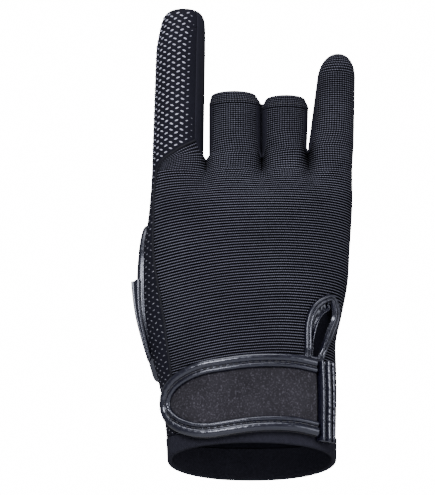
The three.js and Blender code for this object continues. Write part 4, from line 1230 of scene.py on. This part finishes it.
def rimWrinkles(i, v):
    swell = rim["swell"] * np.sin(edgeAlong[i] * 0.9 + np.sign(edgeUp[i]) * 2) * np.sin(edgeAlong[i] * 0.37)
    roundEnd = smooth(strapEndFrom + 8, strapEndFrom + 20, edgeAlong[i])
    gathers = rim["gather"] * np.sin(edgeUp[i] * 1.7 + 1.2 * np.sin(v * 9)) * roundEnd
    puckers = (rim["pucker"] * np.sin(rimRun[i] * (2 * np.pi / rim["puckerPitch"])) * (0.6 + roundEnd)
               * np.exp(-((v - rim["puckerAt"]) / 0.1) ** 2))
    return swell + gathers + puckers


rimMesh = sweepTape("strapRim", rimPoint, rimSide, rimOut, rimSection, strap["rimWidth"], strap["rimThickness"],
                    strap["layer"], False, rimWrinkles)
addTape("strap_rim", rimMesh, ["strap_binding"])

stitchLift = strap["layer"] + 0.42 * strap["rimThickness"]
stitchPoint = rimPoint + rimSide * (rim["groove"] * strap["rimWidth"] / 2) + rimOut * stitchLift
rimStitches = [stitchRow(stitchPoint, rimOut, 1.9, 0.5, 0.8)]
for across in (-0.43, 0.4):  # in the upright tape's two grooves
    tapePoint = point + sideways * (across * edgeTape["width"] / 2) + out * (0.72 + 0.58 * edgeTape["thickness"])
    rimStitches.append(stitchRow(tapePoint, out, 1.7, 0.42, 0.9))
addStitches("strap_stitches", rimStitches, darkThread)


# Hook-and-loop pad under the strap's end
pad = {"inset": 8, "length": 44, "height": 24}


def padPlace(u, v):
    distance = strap["reach"] - pad["inset"] - pad["length"] * (1 - u)
    return strapPoint(distance, pad["height"] * (0.5 - v), np.full_like(u, strap["layer"] + strap["fastener"]))


padMesh = joinMeshes("strapPad", [layGrid("strapPad", 60, 30, padPlace)])
addPiece("strap_pad", padMesh, brushedMaterial, ["strap_fastener"], wall=0.7)
print("strap made")

# Cuff band with a rolled hem and fine upright ribs on its outer face
cuff = {"middle": -0.009, "slant": 0.032, "rows": 30, "faceRows": 14, "ribs": 110, "rib": 0.06}
cuffProfile = np.array([
    # row, out, share of the height: down the outer face, round the foot and up the inner face
    [0, 0.4, 1], [13, 0.4, 0.06], [14, 0.15, 0.015], [15, -0.5, 0], [16, -1.2, 0.015], [17, -1.6, 0.06], [30, -1.6, 1],
])


def cuffPlace(u, v):
    turn = 360 * u
    foot = form["palmLength"] * (cuff["middle"] + cuff["slant"] * np.sin(np.radians(turn)))
    rows = v * cuff["rows"]
    depth, share = (np.interp(rows, cuffProfile[:, 0], cuffProfile[:, i]) for i in (1, 2))
    z = foot + (form["cuffTop"] - foot) * share
    base = palmPoint(turn, np.maximum(z, 0))
    base[:, 2] = z
    ripple = cuff["rib"] * np.sin(np.radians(turn) * cuff["ribs"])
    return base + levelOut(palmNormal(turn, np.maximum(z, 0) + 0.6)) * (
        depth + np.where(rows < cuff["faceRows"], ripple, 0))[:, None]


cuffMesh = joinMeshes("cuffBand", [layGrid("cuffBand", 330, cuff["rows"], cuffPlace)], merge=4e-5, flip=True)
addPiece("cuff_knit", cuffMesh, cuffMaterial, ["cuff_band"])
print("cuff made")

# Floor, lights and camera
bm = bmesh.new()
bmesh.ops.create_grid(bm, x_segments=2, y_segments=2, size=4)
bmesh.ops.translate(bm, verts=bm.verts, vec=(0, 0, -0.34))
floorMesh = bpy.data.meshes.new("floor")
bm.to_mesh(floorMesh)
bm.free()
floor = bpy.data.objects.new("floor", floorMesh)
bpy.context.scene.collection.objects.link(floor)
floorShader = Shader("paleFloor")
floorMesh.materials.append(floorShader.feed(base=(0.82, 0.82, 0.82, 1), roughness=0.8))

studio = {"paper": 16.0, "ambient": 0.3, "key": 16.0, "fill": 6.0, "top": 8.0, "target": (0, 0, 0.09)}
world = bpy.data.worlds.new("studio")
bpy.context.scene.world = world
world.use_nodes = True
paper = world.node_tree.nodes["Background"]
paper.inputs[0].default_value = (1, 1, 1, 1)
paper.inputs[1].default_value = studio["paper"]
ambient = world.node_tree.nodes.new("ShaderNodeBackground")
ambient.inputs[0].default_value = (0.93, 0.96, 1, 1)
ambient.inputs[1].default_value = studio["ambient"]
seen = world.node_tree.nodes.new("ShaderNodeLightPath")
worldMix = world.node_tree.nodes.new("ShaderNodeMixShader")
world.node_tree.links.new(seen.outputs["Is Camera Ray"], worldMix.inputs[0])
world.node_tree.links.new(ambient.outputs[0], worldMix.inputs[1])
world.node_tree.links.new(paper.outputs[0], worldMix.inputs[2])
world.node_tree.links.new(worldMix.outputs[0], world.node_tree.nodes["World Output"].inputs[0])


def softLight(name, place, size, energy):
    light = bpy.data.lights.new(name, "AREA")
    light.shape = "RECTANGLE"
    light.size, light.size_y = size
    light.energy = energy
    lamp = bpy.data.objects.new(name, light)
    lamp.location = place
    lamp.rotation_euler = (Vector(studio["target"]) - Vector(place)).to_track_quat("-Z", "Y").to_euler()
    bpy.context.scene.collection.objects.link(lamp)


softLight("key", (-0.35, -1.0, 0.45), (0.45, 0.45), studio["key"])
softLight("fill", (0.85, -0.7, 0.2), (0.7, 0.7), studio["fill"])
softLight("top", (-0.1, -0.3, 1.1), (0.8, 0.5), studio["top"])

view = {"tilt": -16.0, "distance": 0.9, "across": -0.01398, "level": 0.0919, "wide": 0.21285}  # metres and degrees
camera = bpy.data.cameras.new("camera")
camera.sensor_width = 36
camera.lens = 36 * view["distance"] / view["wide"]
tilt = math.radians(view["tilt"])
eye = bpy.data.objects.new("camera", camera)
eye.location = (view["across"], -math.cos(tilt) * view["distance"], view["level"] + math.sin(tilt) * view["distance"])
eye.rotation_euler = (math.radians(90) - tilt, 0, 0)
bpy.context.scene.collection.objects.link(eye)
bpy.context.scene.camera = eye
